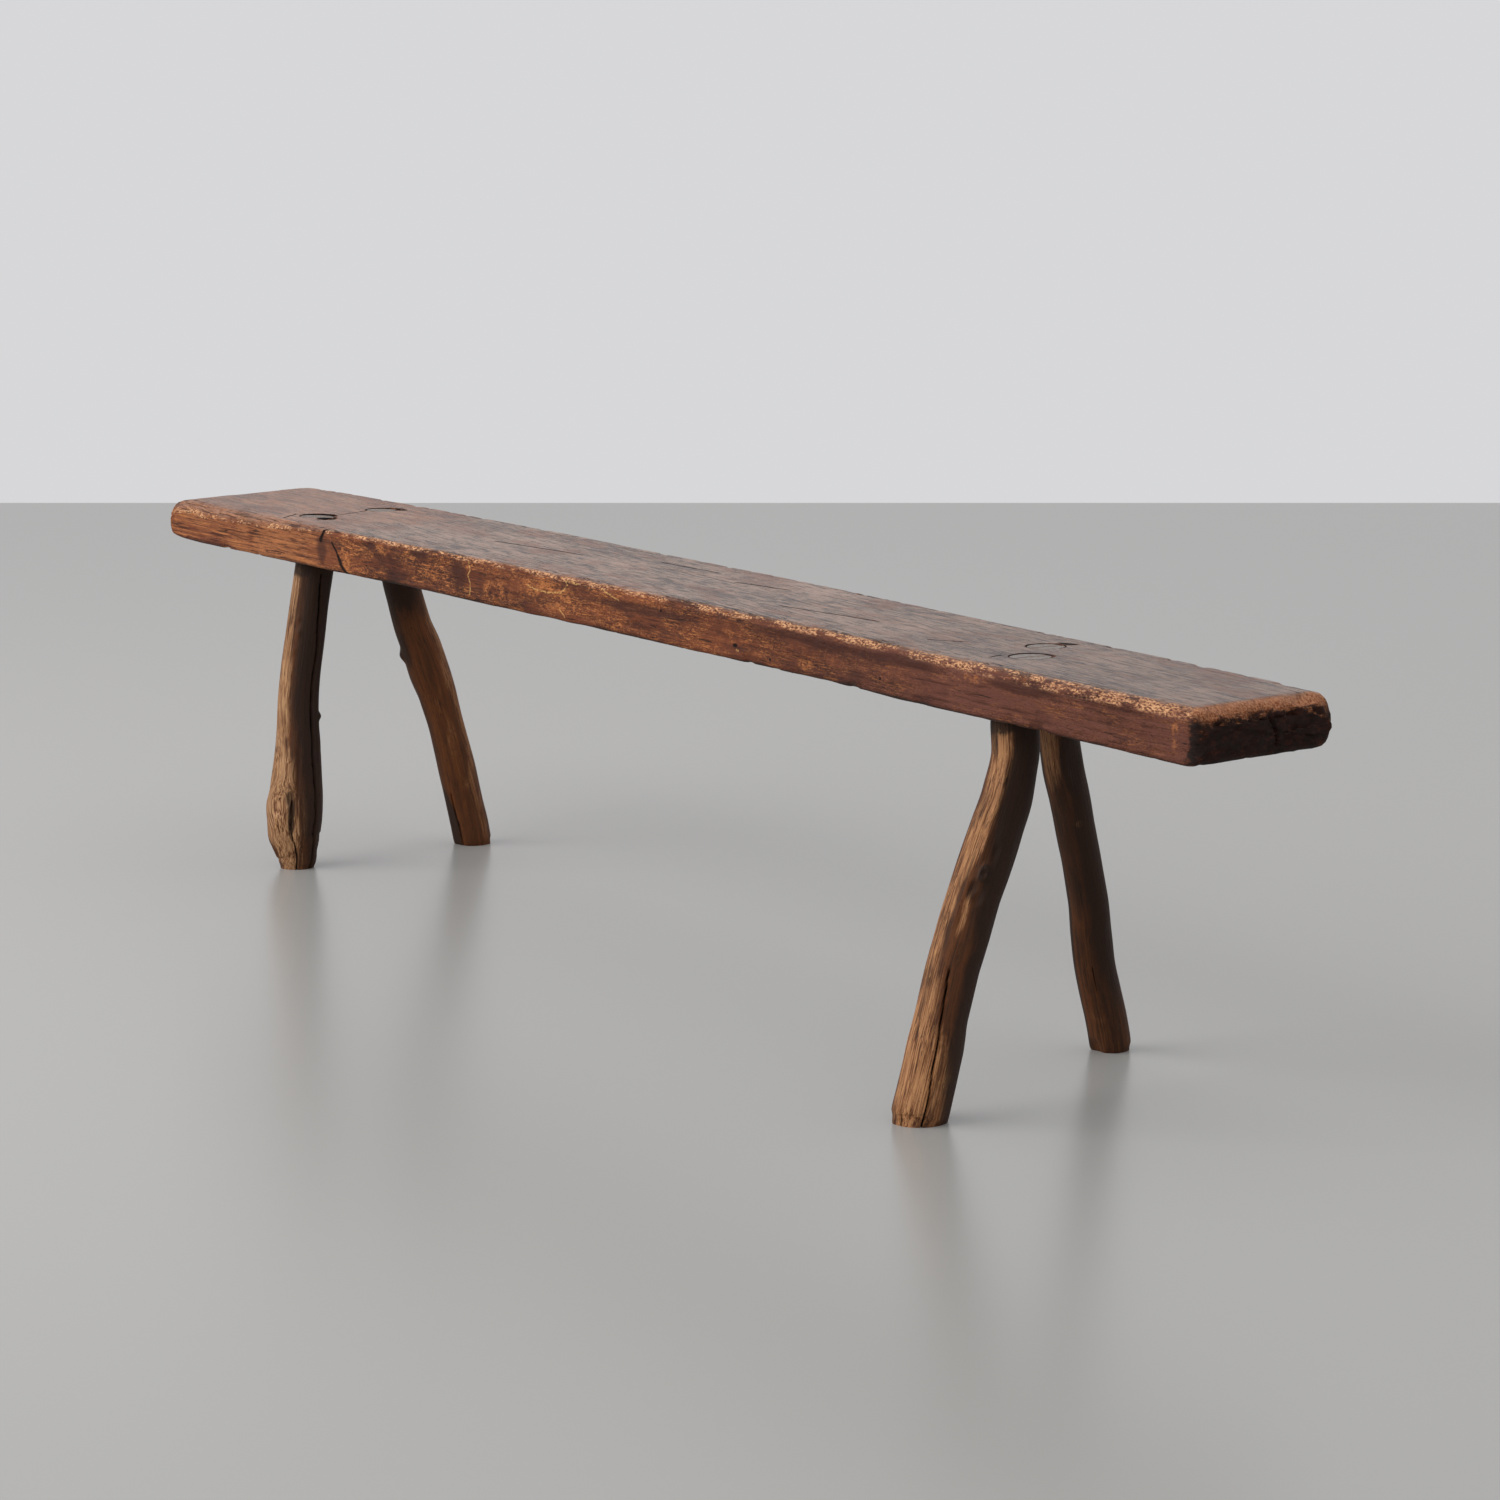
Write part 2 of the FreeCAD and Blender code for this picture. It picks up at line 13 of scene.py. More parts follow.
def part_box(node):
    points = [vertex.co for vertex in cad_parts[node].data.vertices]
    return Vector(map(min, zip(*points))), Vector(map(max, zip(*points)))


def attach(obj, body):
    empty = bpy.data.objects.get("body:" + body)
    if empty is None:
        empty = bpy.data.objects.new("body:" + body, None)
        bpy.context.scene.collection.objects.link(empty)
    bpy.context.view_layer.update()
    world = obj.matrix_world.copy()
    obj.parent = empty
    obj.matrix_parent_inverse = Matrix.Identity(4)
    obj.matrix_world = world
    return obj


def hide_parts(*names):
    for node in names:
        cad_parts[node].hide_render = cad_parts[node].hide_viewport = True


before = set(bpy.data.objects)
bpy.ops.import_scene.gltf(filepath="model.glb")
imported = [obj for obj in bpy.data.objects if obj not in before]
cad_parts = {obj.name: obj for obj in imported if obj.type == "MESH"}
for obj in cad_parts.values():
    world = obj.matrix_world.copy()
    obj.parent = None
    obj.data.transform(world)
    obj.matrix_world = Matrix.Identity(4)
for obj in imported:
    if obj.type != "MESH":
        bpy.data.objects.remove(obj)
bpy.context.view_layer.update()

bl_info = {
    "name": "Farmhouse Bench",
    "version": (1, 0, 0),
    "blender": (4, 5, 0),
    "location": "3D View > Sidebar > Bench",
    "description": "Makes a rustic plank bench of hewn, worn wood on crooked branch legs",
    "category": "Object",
}

MM = 0.001

# The plank between its worn ends, from the far one on. Columns: place along the length, front
# face and rear face as shares of the breadth, thickness, rounding of the front top, rear top and
# rear bottom edges, and how much of the far and of the near end's slant the section has.
HEWN_SHARES = [
    (0.062, 0.506, 0.525, 0.93, 1.3, 1.0, 1.0, 0.7, 0.0),
    (0.13, 0.487, 0.541, 0.926, 1.0, 1.0, 1.0, 0.3, 0.0),
    (0.21, 0.465, 0.556, 0.935, 0.6, 1.0, 1.0, 0.0, 0.0),
    (0.3, 0.436, 0.572, 0.928, 0.6, 1.0, 1.0, 0.0, 0.0),
    (0.4, 0.41, 0.55, 0.945, 0.7, 1.0, 1.0, 0.0, 0.0),
    (0.5, 0.396, 0.545, 0.938, 0.75, 1.0, 1.0, 0.0, 0.0),
    (0.6, 0.38, 0.523, 0.96, 0.8, 1.0, 1.0, 0.0, 0.0),
    (0.7, 0.38, 0.484, 0.955, 0.9, 1.0, 1.0, 0.0, 0.0),
    (0.8, 0.406, 0.452, 0.968, 0.95, 1.0, 1.0, 0.0, 0.0),
    (0.885, 0.413, 0.43, 0.955, 1.0, 1.0, 1.0, 0.0, 0.2),
    (0.95, 0.422, 0.417, 0.965, 1.0, 1.3, 1.2, 0.0, 0.6),
]
FAR_END_SHARES = (0.515, 0.5, 0.93, 1.2, 1.0, 1.0)
NEAR_END_SHARES = (0.413, 0.42, 0.985, 1.0, 2.0, 3.0)
# How far each side is worn back at the far and at the near end, in mm
WORN_BACK = {"front": (4, 13), "rear": (44, 17), "under": (8, 10), "top": (13, 18)}
# Saw notch: its width at the foot as a share of its mouth's, and the front face there
NOTCH_FOOT_SHARE = 0.25
NOTCH_FRONT_SHARE = 0.465
# The gouge in the near end's rear top corner, and the chip beside the front left tenon
GOUGE_PLACE = (1.1085, 0.052, 0.447)
GOUGE_REACH = (0.022, 0.03, 0.008)
CHIP_PLACE = (-0.735, -0.05)
CHIP_TURN = ((0.896, 0.444), (-0.444, 0.896))
CHIP_REACH = (0.021, 0.016)
# Random waves over the plank: their cell in metres, seed and layers
PLANK_WAVES = {
    "sway": ((0.16, 0.06, 0.05), 3, 3), "torn": ((0.045, 0.006, 0.006), 5, 2),
    "dished": ((0.11, 0.035, 0.05), 11, 3), "scored": ((0.12, 0.0065, 0.1), 13, 1),
    "dents": ((0.014, 0.009, 0.009), 19, 3), "chips": ((0.026, 0.02, 0.02), 23, 3),
    "crumbled": ((0.02, 0.011, 0.007), 29, 4), "slow": ((0.14, 0.06, 0.06), 71, 3),
    "crowd": ((0.09, 0.03, 0.03), 73, 3),
}
# How deep each kind of wear goes into the plank, and half the width of the check down its end
DEPTHS = {
    "underside": 0.0003, "dish": 0.0006, "score": 0.0007, "lower edge": 0.0014, "far end": 0.0012,
    "near end": 0.002, "gouge": 0.0045, "end check": 0.0035, "chip": 0.0045,
}
END_CHECK_HALF = 0.0032
# Distance of the plank's rings, what a cutter runs past, depth of a mortise's worn rim, rise of
# the kerf's cutter and the ring of painted shade round a tenon
PLANK_STEP = 0.0039
OVERRUN = 0.012
RIM_DEPTH = 0.012
KERF_RISE = 0.014
MORTISE_SHADOW = 0.003
MORTISE_SIDES = 96
# Points round the plank's section, rings over each end's wear and rings of each end face
SECTION_POINTS = {
    "front": 30, "front round": 10, "top": 50, "rear round": 6, "rear": 12, "low round": 5, "under": 24,
}
FAR_RINGS, NEAR_RINGS, CAP_RINGS = 28, 16, 22

# Each leg: inset of the tenon's centre from its end of the plank, distance across, girth, bend,
# tenon at the neck and at the seat, depth of its end below the seat, then its angles
LEG_NAMES = ("front_left", "rear_left", "front_right", "rear_right")
LEG_DEFAULTS = {
    "front_left": (343, -47, 51, 12, 47, 44, 1.5, -4.1, 6.6, 2.5),
    "rear_left": (324, 57, 50, 6, 46, 42.5, 1.2, -2.8, -14.5, 2),
    "front_right": (360, -17, 55, 10, 46, 41, 0.8, -4.6, 19.1, 0),
    "rear_right": (411, 38, 43, 4, 41.5, 38, 0.8, 8.4, -17.1, 0),
}
THROUGH_SHARES = {"front_left": 0.928, "rear_left": 0.928, "front_right": 0.98, "rear_right": 0.975}
# Branches from the floor up to the neck. Columns: height, bend lengthwise and crosswise as
# shares of the leg's bend, and breadth as a share of the girth.
BRANCH_SHARES = {
    "front_left": [
        (-0.03, -0.05, -0.1, 0.83), (0.03, -0.08, -0.12, 0.96), (0.055, -0.16, -0.26, 1.09),
        (0.08, -0.24, -0.4, 1.21), (0.115, -0.34, -0.58, 1.34), (0.17, -0.36, -0.6, 1.4),
        (0.23, -0.36, -0.6, 1.37), (0.29, -0.38, -0.62, 1.29), (0.35, -0.39, -0.64, 1.21),
        (0.4, -0.42, -0.66, 1.14), (0.46, -0.48, -0.75, 1.07), (0.55, -0.54, -0.86, 1.03),
        (0.64, -0.5, -0.78, 1.01), (0.75, -0.34, -0.56, 1.0), (0.87, -0.2, -0.34, 0.97),
    ],
    "rear_left": [
        (-0.05, -0.1, -0.1, 0.86), (0.025, 0.0, 0.05, 0.99), (0.075, 0.15, 0.25, 1.0),
        (0.14, 0.25, 0.4, 0.99), (0.23, 0.35, 0.6, 0.99), (0.33, 0.45, 0.74, 0.97),
        (0.42, 0.5, 0.8, 0.94), (0.51, 0.46, 0.78, 0.99), (0.6, 0.2, 0.4, 1.07),
        (0.68, 0.05, 0.15, 1.05), (0.77, -0.2, -0.38, 0.99), (0.88, -0.25, -0.42, 0.95),
    ],
    "front_right": [
        (-0.05, -0.05, -0.08, 0.86), (0.03, -0.05, -0.08, 1.06), (0.09, -0.04, -0.08, 1.05),
        (0.17, -0.08, -0.12, 1.05), (0.27, -0.16, -0.24, 0.98), (0.37, -0.18, -0.28, 0.98),
        (0.47, -0.08, -0.12, 1.0), (0.56, 0.02, 0.04, 0.98), (0.65, 0.22, 0.34, 1.0),
        (0.74, 0.38, 0.6, 0.97), (0.82, 0.52, 0.82, 0.94), (0.91, 0.46, 0.72, 0.88),
    ],
    "rear_right": [
        (-0.05, -0.1, -0.15, 0.82), (0.03, -0.07, -0.12, 1.04), (0.085, -0.1, -0.15, 1.03),
        (0.17, -0.28, -0.46, 1.02), (0.26, -0.42, -0.68, 1.01), (0.35, -0.22, -0.36, 1.0),
        (0.45, 0.12, 0.2, 0.98), (0.55, 0.1, 0.16, 0.96), (0.65, -0.02, -0.04, 0.97),
        (0.74, -0.14, -0.22, 0.99), (0.82, -0.32, -0.5, 1.01), (0.91, -0.25, -0.4, 0.99),
    ],
}
OVAL_SHARE = 0.92
NECK_OVAL_SHARE = 0.98
OVAL_TURN = math.radians(58)
# Lumps that rise more than this, in mm, are knots
KNOT_RISE = 3.5
# Height of the slow lumps all over a branch, how far its foot's edge is frayed, and its rings
# within the seat
SLOW_LUMPS = 0.0008
FRAYED_FOOT = 0.0016
TENON_RINGS = 26
# The fibres swirl round the burl: none above and all below these heights in mm, and how far
# round, across and along the branch
BURL_HEIGHTS = (170, 110)
SWIRL_REACH = (0.010, 0.010, 0.030)

# Knots and burl lumps on the branches. Columns: height in mm, turn round the leg in degrees from
# the side that faces along the bench, reach along, reach round and rise in mm.
BRANCH_LUMPS = {
    "front_left": [
        (194, 58, 8, 6, 3.0), (78, 230, 24, 18, 2.6), (58, 296, 20, 14, 3.0), (104, 290, 24, 14, 1.8),
        (40, 345, 14, 9, 1.8), (300, 312, 10, 6, 1.5), (276, 304, 9, 5, 1.3), (318, 306, 7, 5, 1.2),
        (244, 300, 10, 5, 1.1), (128, 322, 60, 5, 1.2),
    ],
    "rear_left": [(264, 240, 14, 12, 4.4), (244, 210, 20, 12, 1.8), (130, 10, 18, 12, 0.8)],
    "front_right": [
        (238, 331, 15, 9, 4.0), (214, 352, 12, 8, 1.8), (262, 314, 26, 5, 2.2), (292, 310, 40, 5, 1.8),
        (330, 308, 40, 5, 1.6), (200, 300, 24, 7, 1.6), (120, 200, 18, 12, 1.0),
    ],
    "rear_right": [(270, 150, 14, 10, 1.6), (316, 330, 18, 12, 1.0), (155, 20, 16, 12, 0.8)],
}
# Hollows and split-off facets. Columns as above, with the depth last.
BRANCH_HOLLOWS = {
    "front_left": [
        (24, 258, 24, 10, 4.2), (64, 326, 36, 4, 3.0), (90, 320, 12, 7, 2.4), (212, 32, 150, 7, 1.3),
        (120, 338, 60, 4, 1.4),
    ],
    "rear_left": [(24, 274, 60, 15, 2.6), (330, 150, 40, 12, 1.0)],
    "front_right": [
        (238, 330, 5, 4, 3.2), (222, 316, 10, 6, 2.2), (258, 340, 14, 5, 1.8), (330, 352, 70, 20, 1.4),
        (214, 334, 8, 7, 1.6),
    ],
    "rear_right": [(8, 276, 18, 14, 4.0), (328, 2, 26, 14, 1.2), (300, 325, 20, 8, 0.9)],
}
# Drying checks: width and depth in mm, then their line as (height in mm, turn in degrees)
BRANCH_CHECKS = {
    "front_left": [
        (1.5, 4.5, [(384, 356), (370, 359), (328, 10), (268, 18), (210, 12), (138, 18), (60, 25), (-20, 27)]),
        (1.2, 3.0, [(98, 322), (66, 326), (24, 332), (-20, 332)]), (1.0, 3.0, [(300, 150), (90, 162)]),
    ],
    "rear_left": [(1.2, 4.0, [(84, 290), (40, 293), (-20, 296)]), (0.8, 2.0, [(330, 120), (160, 128)])],
    "front_right": [
        (1.1, 5.0, [(158, 317), (120, 322), (78, 327), (30, 334), (-20, 338)]),
        (1.5, 3.0, [(20, 280), (-20, 281)]), (0.9, 2.5, [(340, 120), (190, 112)]),
    ],
    "rear_right": [(0.9, 2.5, [(150, 140), (-20, 133)]), (0.7, 1.5, [(120, 318), (60, 322)])],
}
# Where the branches are rubbed golden, with painted light on their side towards the lamp, and where
# they are dark, with painted shade on the side away from it and under the plank. Columns: height
# in mm, turn in degrees, reach along in mm, reach round in degrees, strength.
RUBBED_AND_LIT_PLACES = {
    "front_left": [
        (330, 264, 90, 38, 0.8), (215, 268, 90, 44, 1.0), (95, 278, 80, 62, 1.0),
        (40, 300, 60, 62, 0.9), (60, 345, 50, 26, 0.5), (200, 150, 160, 50, 0.5),
    ],
    "rear_left": [
        (300, 58, 130, 24, 0.8), (190, 46, 130, 34, 0.7), (70, 20, 80, 50, 0.45), (170, 340, 60, 30, 0.3),
    ],
    "front_right": [
        (350, 290, 70, 38, 1.0), (296, 296, 60, 22, 1.0), (262, 276, 60, 34, 0.75),
        (170, 262, 90, 34, 0.8), (80, 272, 80, 50, 0.9), (34, 300, 70, 66, 1.0), (24, 350, 50, 40, 0.6),
        (200, 316, 26, 8, 0.8),
    ],
    "rear_right": [
        (352, 290, 60, 36, 0.9), (264, 344, 4, 12, 1.6), (300, 292, 60, 20, 0.4), (24, 325, 40, 60, 0.25),
    ],
}
DARK_AND_SHADED_PLACES = {
    "front_left": [
        (300, 12, 240, 62, 1.0), (120, 26, 160, 46, 0.65), (384, 330, 16, 200, 0.9),
        (30, 36, 60, 44, 0.6), (340, 318, 60, 26, 0.5), (66, 326, 30, 9, 0.9), (90, 320, 12, 12, 0.7),
    ],
    "rear_left": [
        (400, 300, 90, 200, 1.0), (150, 250, 160, 34, 0.5), (24, 266, 64, 24, 1.1), (330, 262, 90, 50, 0.7),
        (200, 236, 200, 18, 0.9),
    ],
    "front_right": [
        (330, 8, 120, 56, 1.1), (236, 18, 80, 50, 1.0), (384, 330, 12, 200, 0.9),
        (120, 34, 140, 44, 0.8), (238, 330, 9, 12, 0.8), (222, 318, 14, 12, 0.6),
        (366, 268, 26, 14, 0.5),
    ],
    "rear_right": [
        (326, 6, 44, 46, 1.1), (180, 240, 200, 24, 1.1), (200, 20, 160, 70, 0.8),
        (384, 330, 14, 200, 0.8), (240, 300, 90, 50, 0.5),
    ],
}
# How rough each branch's fibres are, how much of its ground is warm brown, how golden its rubbed
# and painted-lit places are and how much of their gold is olive
BRANCH_LOOKS = {
    "front_left": (1.0, 0.6, 0.97, 0.75),
    "rear_left": (0.35, 1.0, 0.5, 0.25),
    "front_right": (0.85, 0.7, 0.95, 0.15),
    "rear_right": (0.45, 0.3, 0.5, 0.35),
}
# Patches of the front face, as (x, z) with their reach: dark ones, rubbed orange ones, and the
# stretches of the front edge that are rubbed brightest
DARK_PATCHES = [
    (-0.392, 0.441, 0.034, 0.008), (-0.298, 0.425, 0.026, 0.024), (-0.64, 0.424, 0.018, 0.024),
    (0.47, 0.436, 0.14, 0.009), (0.64, 0.436, 0.1, 0.008), (0.12, 0.43, 0.17, 0.008),
    (0.86, 0.434, 0.08, 0.007), (-1.02, 0.436, 0.018, 0.005),
]
WARM_PATCHES = [
    (-0.585, 0.414, 0.026, 0.016), (-0.422, 0.441, 0.01, 0.006), (-0.167, 0.442, 0.012, 0.008),
    (0.3, 0.421, 0.03, 0.01), (0.455, 0.409, 0.02, 0.008), (1.1, 0.424, 0.006, 0.022),
    (-0.5, 0.436, 0.05, 0.01), (-0.09, 0.425, 0.09, 0.02), (-0.21, 0.415, 0.05, 0.018),
    (0.76, 0.434, 0.04, 0.006),
]
BRIGHT_EDGES = [
    (0.25, 0.035), (0.436, 0.045), (0.583, 0.05), (0.77, 0.05), (0.916, 0.05), (1.02, 0.07),
    (1.1, 0.03), (-0.04, 0.1), (-0.5, 0.1),
]


# Settings


def length(name, description, default):
    return FloatProperty(name=name, description=description, default=default, unit="LENGTH", precision=4)


def turn(name, description, default):
    return FloatProperty(name=name, description=description, default=math.radians(default), subtype="ANGLE")


def amount(name, description, default, high=1.0):
    return FloatProperty(name=name, description=description, default=default, min=0, max=high)


def place(name, description, default):
    return FloatVectorProperty(
        name=name, description=description, default=default, subtype="TRANSLATION", unit="LENGTH")


def colour(name, description, default):
    return FloatVectorProperty(
        name=name, description=description, default=default, subtype="COLOR", min=0, max=1)


class BENCH_PG_plank(bpy.types.PropertyGroup):
    seat_height: length("Seat height", "Floor to the top of the plank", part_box("seat_plank")[1].z)
    far_reach: length("Far reach", "Middle of the bench to the far end's centre", 1.112)
    near_reach: length("Near reach", "Middle of the bench to the near end's centre", 1.122)
    breadth: length("Breadth", "Plank across, at its broad end", 0.230)
    thickness: length("Thickness", "Plank through, at its thick end", 0.057)
    planing: length("Planing", "Planed off the hewn top to true it", 0.0006)
    far_slant: turn("Far slant", "Turn of the far end from square", 15)
    near_slant: turn("Near slant", "Turn of the near end from square", 8.3)
    front_round: length("Front round", "Round of the front top edge where it is worn most", 0.014)
    rear_round: length("Rear round", "Round of the rear top edge", 0.011)
    under_round: length("Under round", "Round of both bottom edges", 0.006)
    far_wear: length("Far wear", "How far the far end's rounding reaches in", 0.078)
    near_wear: length("Near wear", "How far the near end's rounding reaches in", 0.026)
    notch_inset: length("Notch inset", "Far end of the plank to the saw notch", 0.474)
    notch_width: length("Notch width", "Saw notch at its mouth", 0.004)
    notch_height: length("Notch height", "Saw notch down the front face", 0.013)
    notch_depth: length("Notch depth", "Saw notch into the plank", 0.006)
    hewing: length("Hewing", "Height of the waves that the axe left on the front face", 0.0007)
    tearing: length("Tearing", "Depth of the torn fibres on the faces", 0.0005)
    pitting: length("Pitting", "Depth of the dents in the worn edges", 0.0014)


def leg_group(title, sizes):
    """The settings of one leg, with that leg's own sizes as their defaults."""
    inset, across, girth, bend, neck, tip, sink, rake, splay, end_slant = sizes
    settings = {
        "inset": length("Inset", "End of the plank to the tenon's centre at the seat", inset * MM),
        "across": length("Across", "Middle of the plank to the tenon's centre", across * MM),
        "girth": length("Girth", "Branch through, where it is round", girth * MM),
        "bend": length("Bend", "How far the branch bows out of its line", bend * MM),
        "neck": length("Neck", "Tenon where it leaves the branch", neck * MM),
        "tip": length("Tip", "Tenon at the seat", tip * MM),
        "sink": length("Sink", "Tenon's end below the seat", sink * MM),
        "rake": turn("Rake", "Lean of the leg's top lengthwise", rake),
        "splay": turn("Splay", "Lean of the leg's top rearwards", splay),
        "end_slant": turn("End slant", "Slant of the tenon's sawn end", end_slant),
    }
    name = "BENCH_PG_leg_" + title
    return type(name, (bpy.types.PropertyGroup,), {"__annotations__": settings})


LEG_GROUPS = {name: leg_group(name, sizes) for name, sizes in LEG_DEFAULTS.items()}


class BENCH_PG_joints(bpy.types.PropertyGroup):
    fit_gap: length("Fit gap", "Gap round a tenon and a wedge", 0.00015)
    shoulder: length("Shoulder", "Step from the branch in to the tenon, all round", 0.0015)
    shoulder_gap: length("Shoulder gap", "Plank down to the nearest point of the shoulder", 0.001)
    wedge_depth: length("Wedge depth", "Wedge, from the seat down", 0.032)
    wedge_thickness: length("Wedge thickness", "Wedge at the seat", 0.006)
    wedge_tip: length("Wedge tip", "Wedge at its thin end", 0.0015)
    rim_wear: length("Rim wear", "How far the mortises' rims are broken away", 0.0022)


class BENCH_PG_branch(bpy.types.PropertyGroup):
    sides: IntProperty(name="Sides", description="Faces round a branch", default=112, min=24, max=160)
    step: length("Step", "Distance of the rings along a branch", 0.0019)
    fibre_depth: length("Fibre depth", "Height of the fibres along the branch", 0.0009)
    fibre_width: length("Fibre width", "Width of the fibres round the branch", 0.0034)
    fibre_length: length("Fibre length", "Length of the fibres along the branch", 0.080)
    seed: IntProperty(name="Seed", description="Which fibres the branches get", default=7)


class BENCH_PG_colours(bpy.types.PropertyGroup):
    face_dark: colour("Face, dark", "Deep red-brown of the plank's faces", (0.050, 0.013, 0.007))
    face_warm: colour("Face, warm", "Middle red-brown of the plank's faces", (0.185, 0.050, 0.018))
    face_fleck: colour("Face flecks", "Orange flecks and rubbed spots", (0.56, 0.205, 0.062))
    face_far: colour("Face, far end", "Lighter orange-brown of the far stretch", (0.34, 0.125, 0.048))
    face_near: colour("Face, near end", "Duller mauve-brown of the near stretch", (0.128, 0.046, 0.034))
    top_dark: colour("Top, dark", "Dark grain of the seat's top", (0.040, 0.021, 0.015))
    # Lightened by a painted sheen: the reflected light that the top shows
    top_worn_and_sheen: colour("Top, warm", "Worn grey-brown of the seat's top", (0.370, 0.240, 0.185))
    arris: colour("Worn edge", "Rubbed edges of the plank", (0.46, 0.205, 0.100))
    spark: colour("Worn edge, pale", "Palest specks of the rubbed edges", (0.74, 0.40, 0.20))
    end_dark: colour("End", "Blackened end grain", (0.016, 0.008, 0.006))
    black_and_shade: colour("Grime", "Black in cracks and along the lower edge", (0.008, 0.005, 0.004))
    # Black of cracks and holes, darker along the lower edge, and painted shade in the gaps round the tenons
    scratch: colour("Scratch", "Fresh yellow scratches", (0.60, 0.33, 0.11))
    # Also the painted light on the branches' side towards the lamp
    limb_rubbed_and_lit: colour("Branch, rubbed", "Golden tan where the branch is rubbed", (0.50, 0.235, 0.100))
    limb_golden: colour("Branch, golden", "Olive gold of the burl and the feet", (0.45, 0.268, 0.142))
    limb_brown: colour("Branch, brown", "Smooth brown of the branch", (0.145, 0.047, 0.014))
    # Also the painted shade on the branches' side away from the lamp and under the plank
    limb_dark: colour("Branch, dark", "Dark weathered side of the branch", (0.021, 0.011, 0.007))
    tenon_end: colour("Tenon end", "Dry grey end grain of a tenon", (0.240, 0.215, 0.195))


class BENCH_PG_stage(bpy.types.PropertyGroup):
    floor: colour("Floor", "Plain pale floor", (0.370, 0.365, 0.352))
    backdrop: colour("Backdrop", "Plain paler backdrop", (0.68, 0.68, 0.695))
    floor_roughness: amount("Floor roughness", "How dull the floor is", 0.28)
    floor_reach: length("Floor reach", "Middle of the bench to the floor's far edge, along the view", 4.98)
    floor_width: length("Floor width", "The floor across, and twice its reach towards the camera", 60)
    key_power: amount("Key power", "Power of the large soft lamp, in watts", 128, 5000)
    key_size: FloatVectorProperty(
        name="Key size", description="The lamp across and up", default=(4.0, 2.4), size=2, unit="LENGTH")
    key_place: place("Key", "The lamp's place: to the right, away from the camera and up", (-3.6, -0.8, 2.7))
    fill_strength: amount("Fill", "Strength of the even light all round", 0.79, 5)
    camera_place: place("Camera", "The camera's place", (4.306, -2.562, 1.070))
    camera_dip: turn("Dip", "How far the camera looks down", 9.328)
    camera_heading: turn("Heading", "Turn of the view from +Y towards -X", 58.006)
    lens: FloatProperty(name="Lens", description="Focal length", default=105.6, subtype="DISTANCE_CAMERA")


# Shapes


def smooth_curve(places, values, at):
    """A smooth curve through a table's points that never overshoots them."""
    places = np.asarray(places, float)
    values = np.asarray(values, float)
    step = np.diff(places)
    rise = np.diff(values) / step
    slope = np.zeros_like(values)
    low_weight = 2 * step[1:] + step[:-1]
    high_weight = step[1:] + 2 * step[:-1]
    same_way = rise[:-1] * rise[1:] > 0
    before = np.where(same_way, rise[:-1], 1.0)
    after = np.where(same_way, rise[1:], 1.0)
    inner = (low_weight + high_weight) / (low_weight / before + high_weight / after)
    slope[1:-1] = np.where(same_way, inner, 0.0)
    slope[0], slope[-1] = rise[0], rise[-1]
    index = np.clip(np.searchsorted(places, at) - 1, 0, len(step) - 1)
    span = step[index]
    part = (at - places[index]) / span
    left = 1 - part
    start = (1 + 2 * part) * left ** 2 * values[index] + part * left ** 2 * span * slope[index]
    end = part ** 2 * (3 - 2 * part) * values[index + 1] - part ** 2 * left * span * slope[index + 1]
    return start + end


def waves(points, seed):
    """Smooth random waves from -1 to 1, one cell per unit, the same each time for a seed."""
    points = np.asarray(points, float)
    cell = np.floor(points).astype(np.int64)
    part = points - cell
    ease = part ** 3 * (part * (part * 6 - 15) + 10)
    total = np.zeros(len(points))
    for corner in itertools.product((0, 1), repeat=3):
        key = (cell[:, 0] + corner[0]) * 73856093 ^ (cell[:, 1] + corner[1]) * 19349663
        key = (key ^ (cell[:, 2] + corner[2]) * 83492791 ^ (seed + 1) * 2654435761) & 0xFFFFFFFF
        key = ((key ^ (key >> 15)) * 2246822519) & 0xFFFFFFFF
        key = ((key ^ (key >> 13)) * 3266489917) & 0xFFFFFFFF
        value = ((key ^ (key >> 16)) & 0xFFFF) / 32767.5 - 1
        weight = np.ones(len(points))
        for axis in range(3):
            weight = weight * (ease[:, axis] if corner[axis] else 1 - ease[:, axis])
        total = total + value * weight
    return total


def rough_waves(points, seed, layers):
    """Waves with finer and finer ones laid over them."""
    total = np.zeros(len(points))
    height = 1.0
    reach = 0.0
    for layer in range(layers):
        total = total + height * waves(np.asarray(points) * 2 ** layer, seed + 17 * layer)
        reach = reach + height
        height = height / 2
    return total / reach


def between(low, high, values):
    """0 below low, 1 above high and a soft step between them."""
    part = np.clip((np.asarray(values, float) - low) / (high - low), 0, 1)
    return part * part * (3 - 2 * part)


def new_piece(name, points, faces, edges=()):
    mesh = bpy.data.meshes.new(name)
    mesh.from_pydata([tuple(point) for point in points], edges, faces)
    mesh.update()
    piece = bpy.data.objects.new(name, mesh)
    bpy.context.scene.collection.objects.link(piece)
    return piece


def ring_faces(rings, count):
    """Faces of a skin between rings of points."""
    faces = []
    for start in range(0, (rings - 1) * count, count):
        for k in range(count):
            follow = (k + 1) % count
            faces.append((start + k, start + count + k, start + count + follow, start + follow))
    return faces


def put_back(work, mesh):
    """Turn a closed mesh's faces outwards and write it back."""
    bmesh.ops.recalc_face_normals(work, faces=work.faces)
    work.to_mesh(mesh)
    work.free()


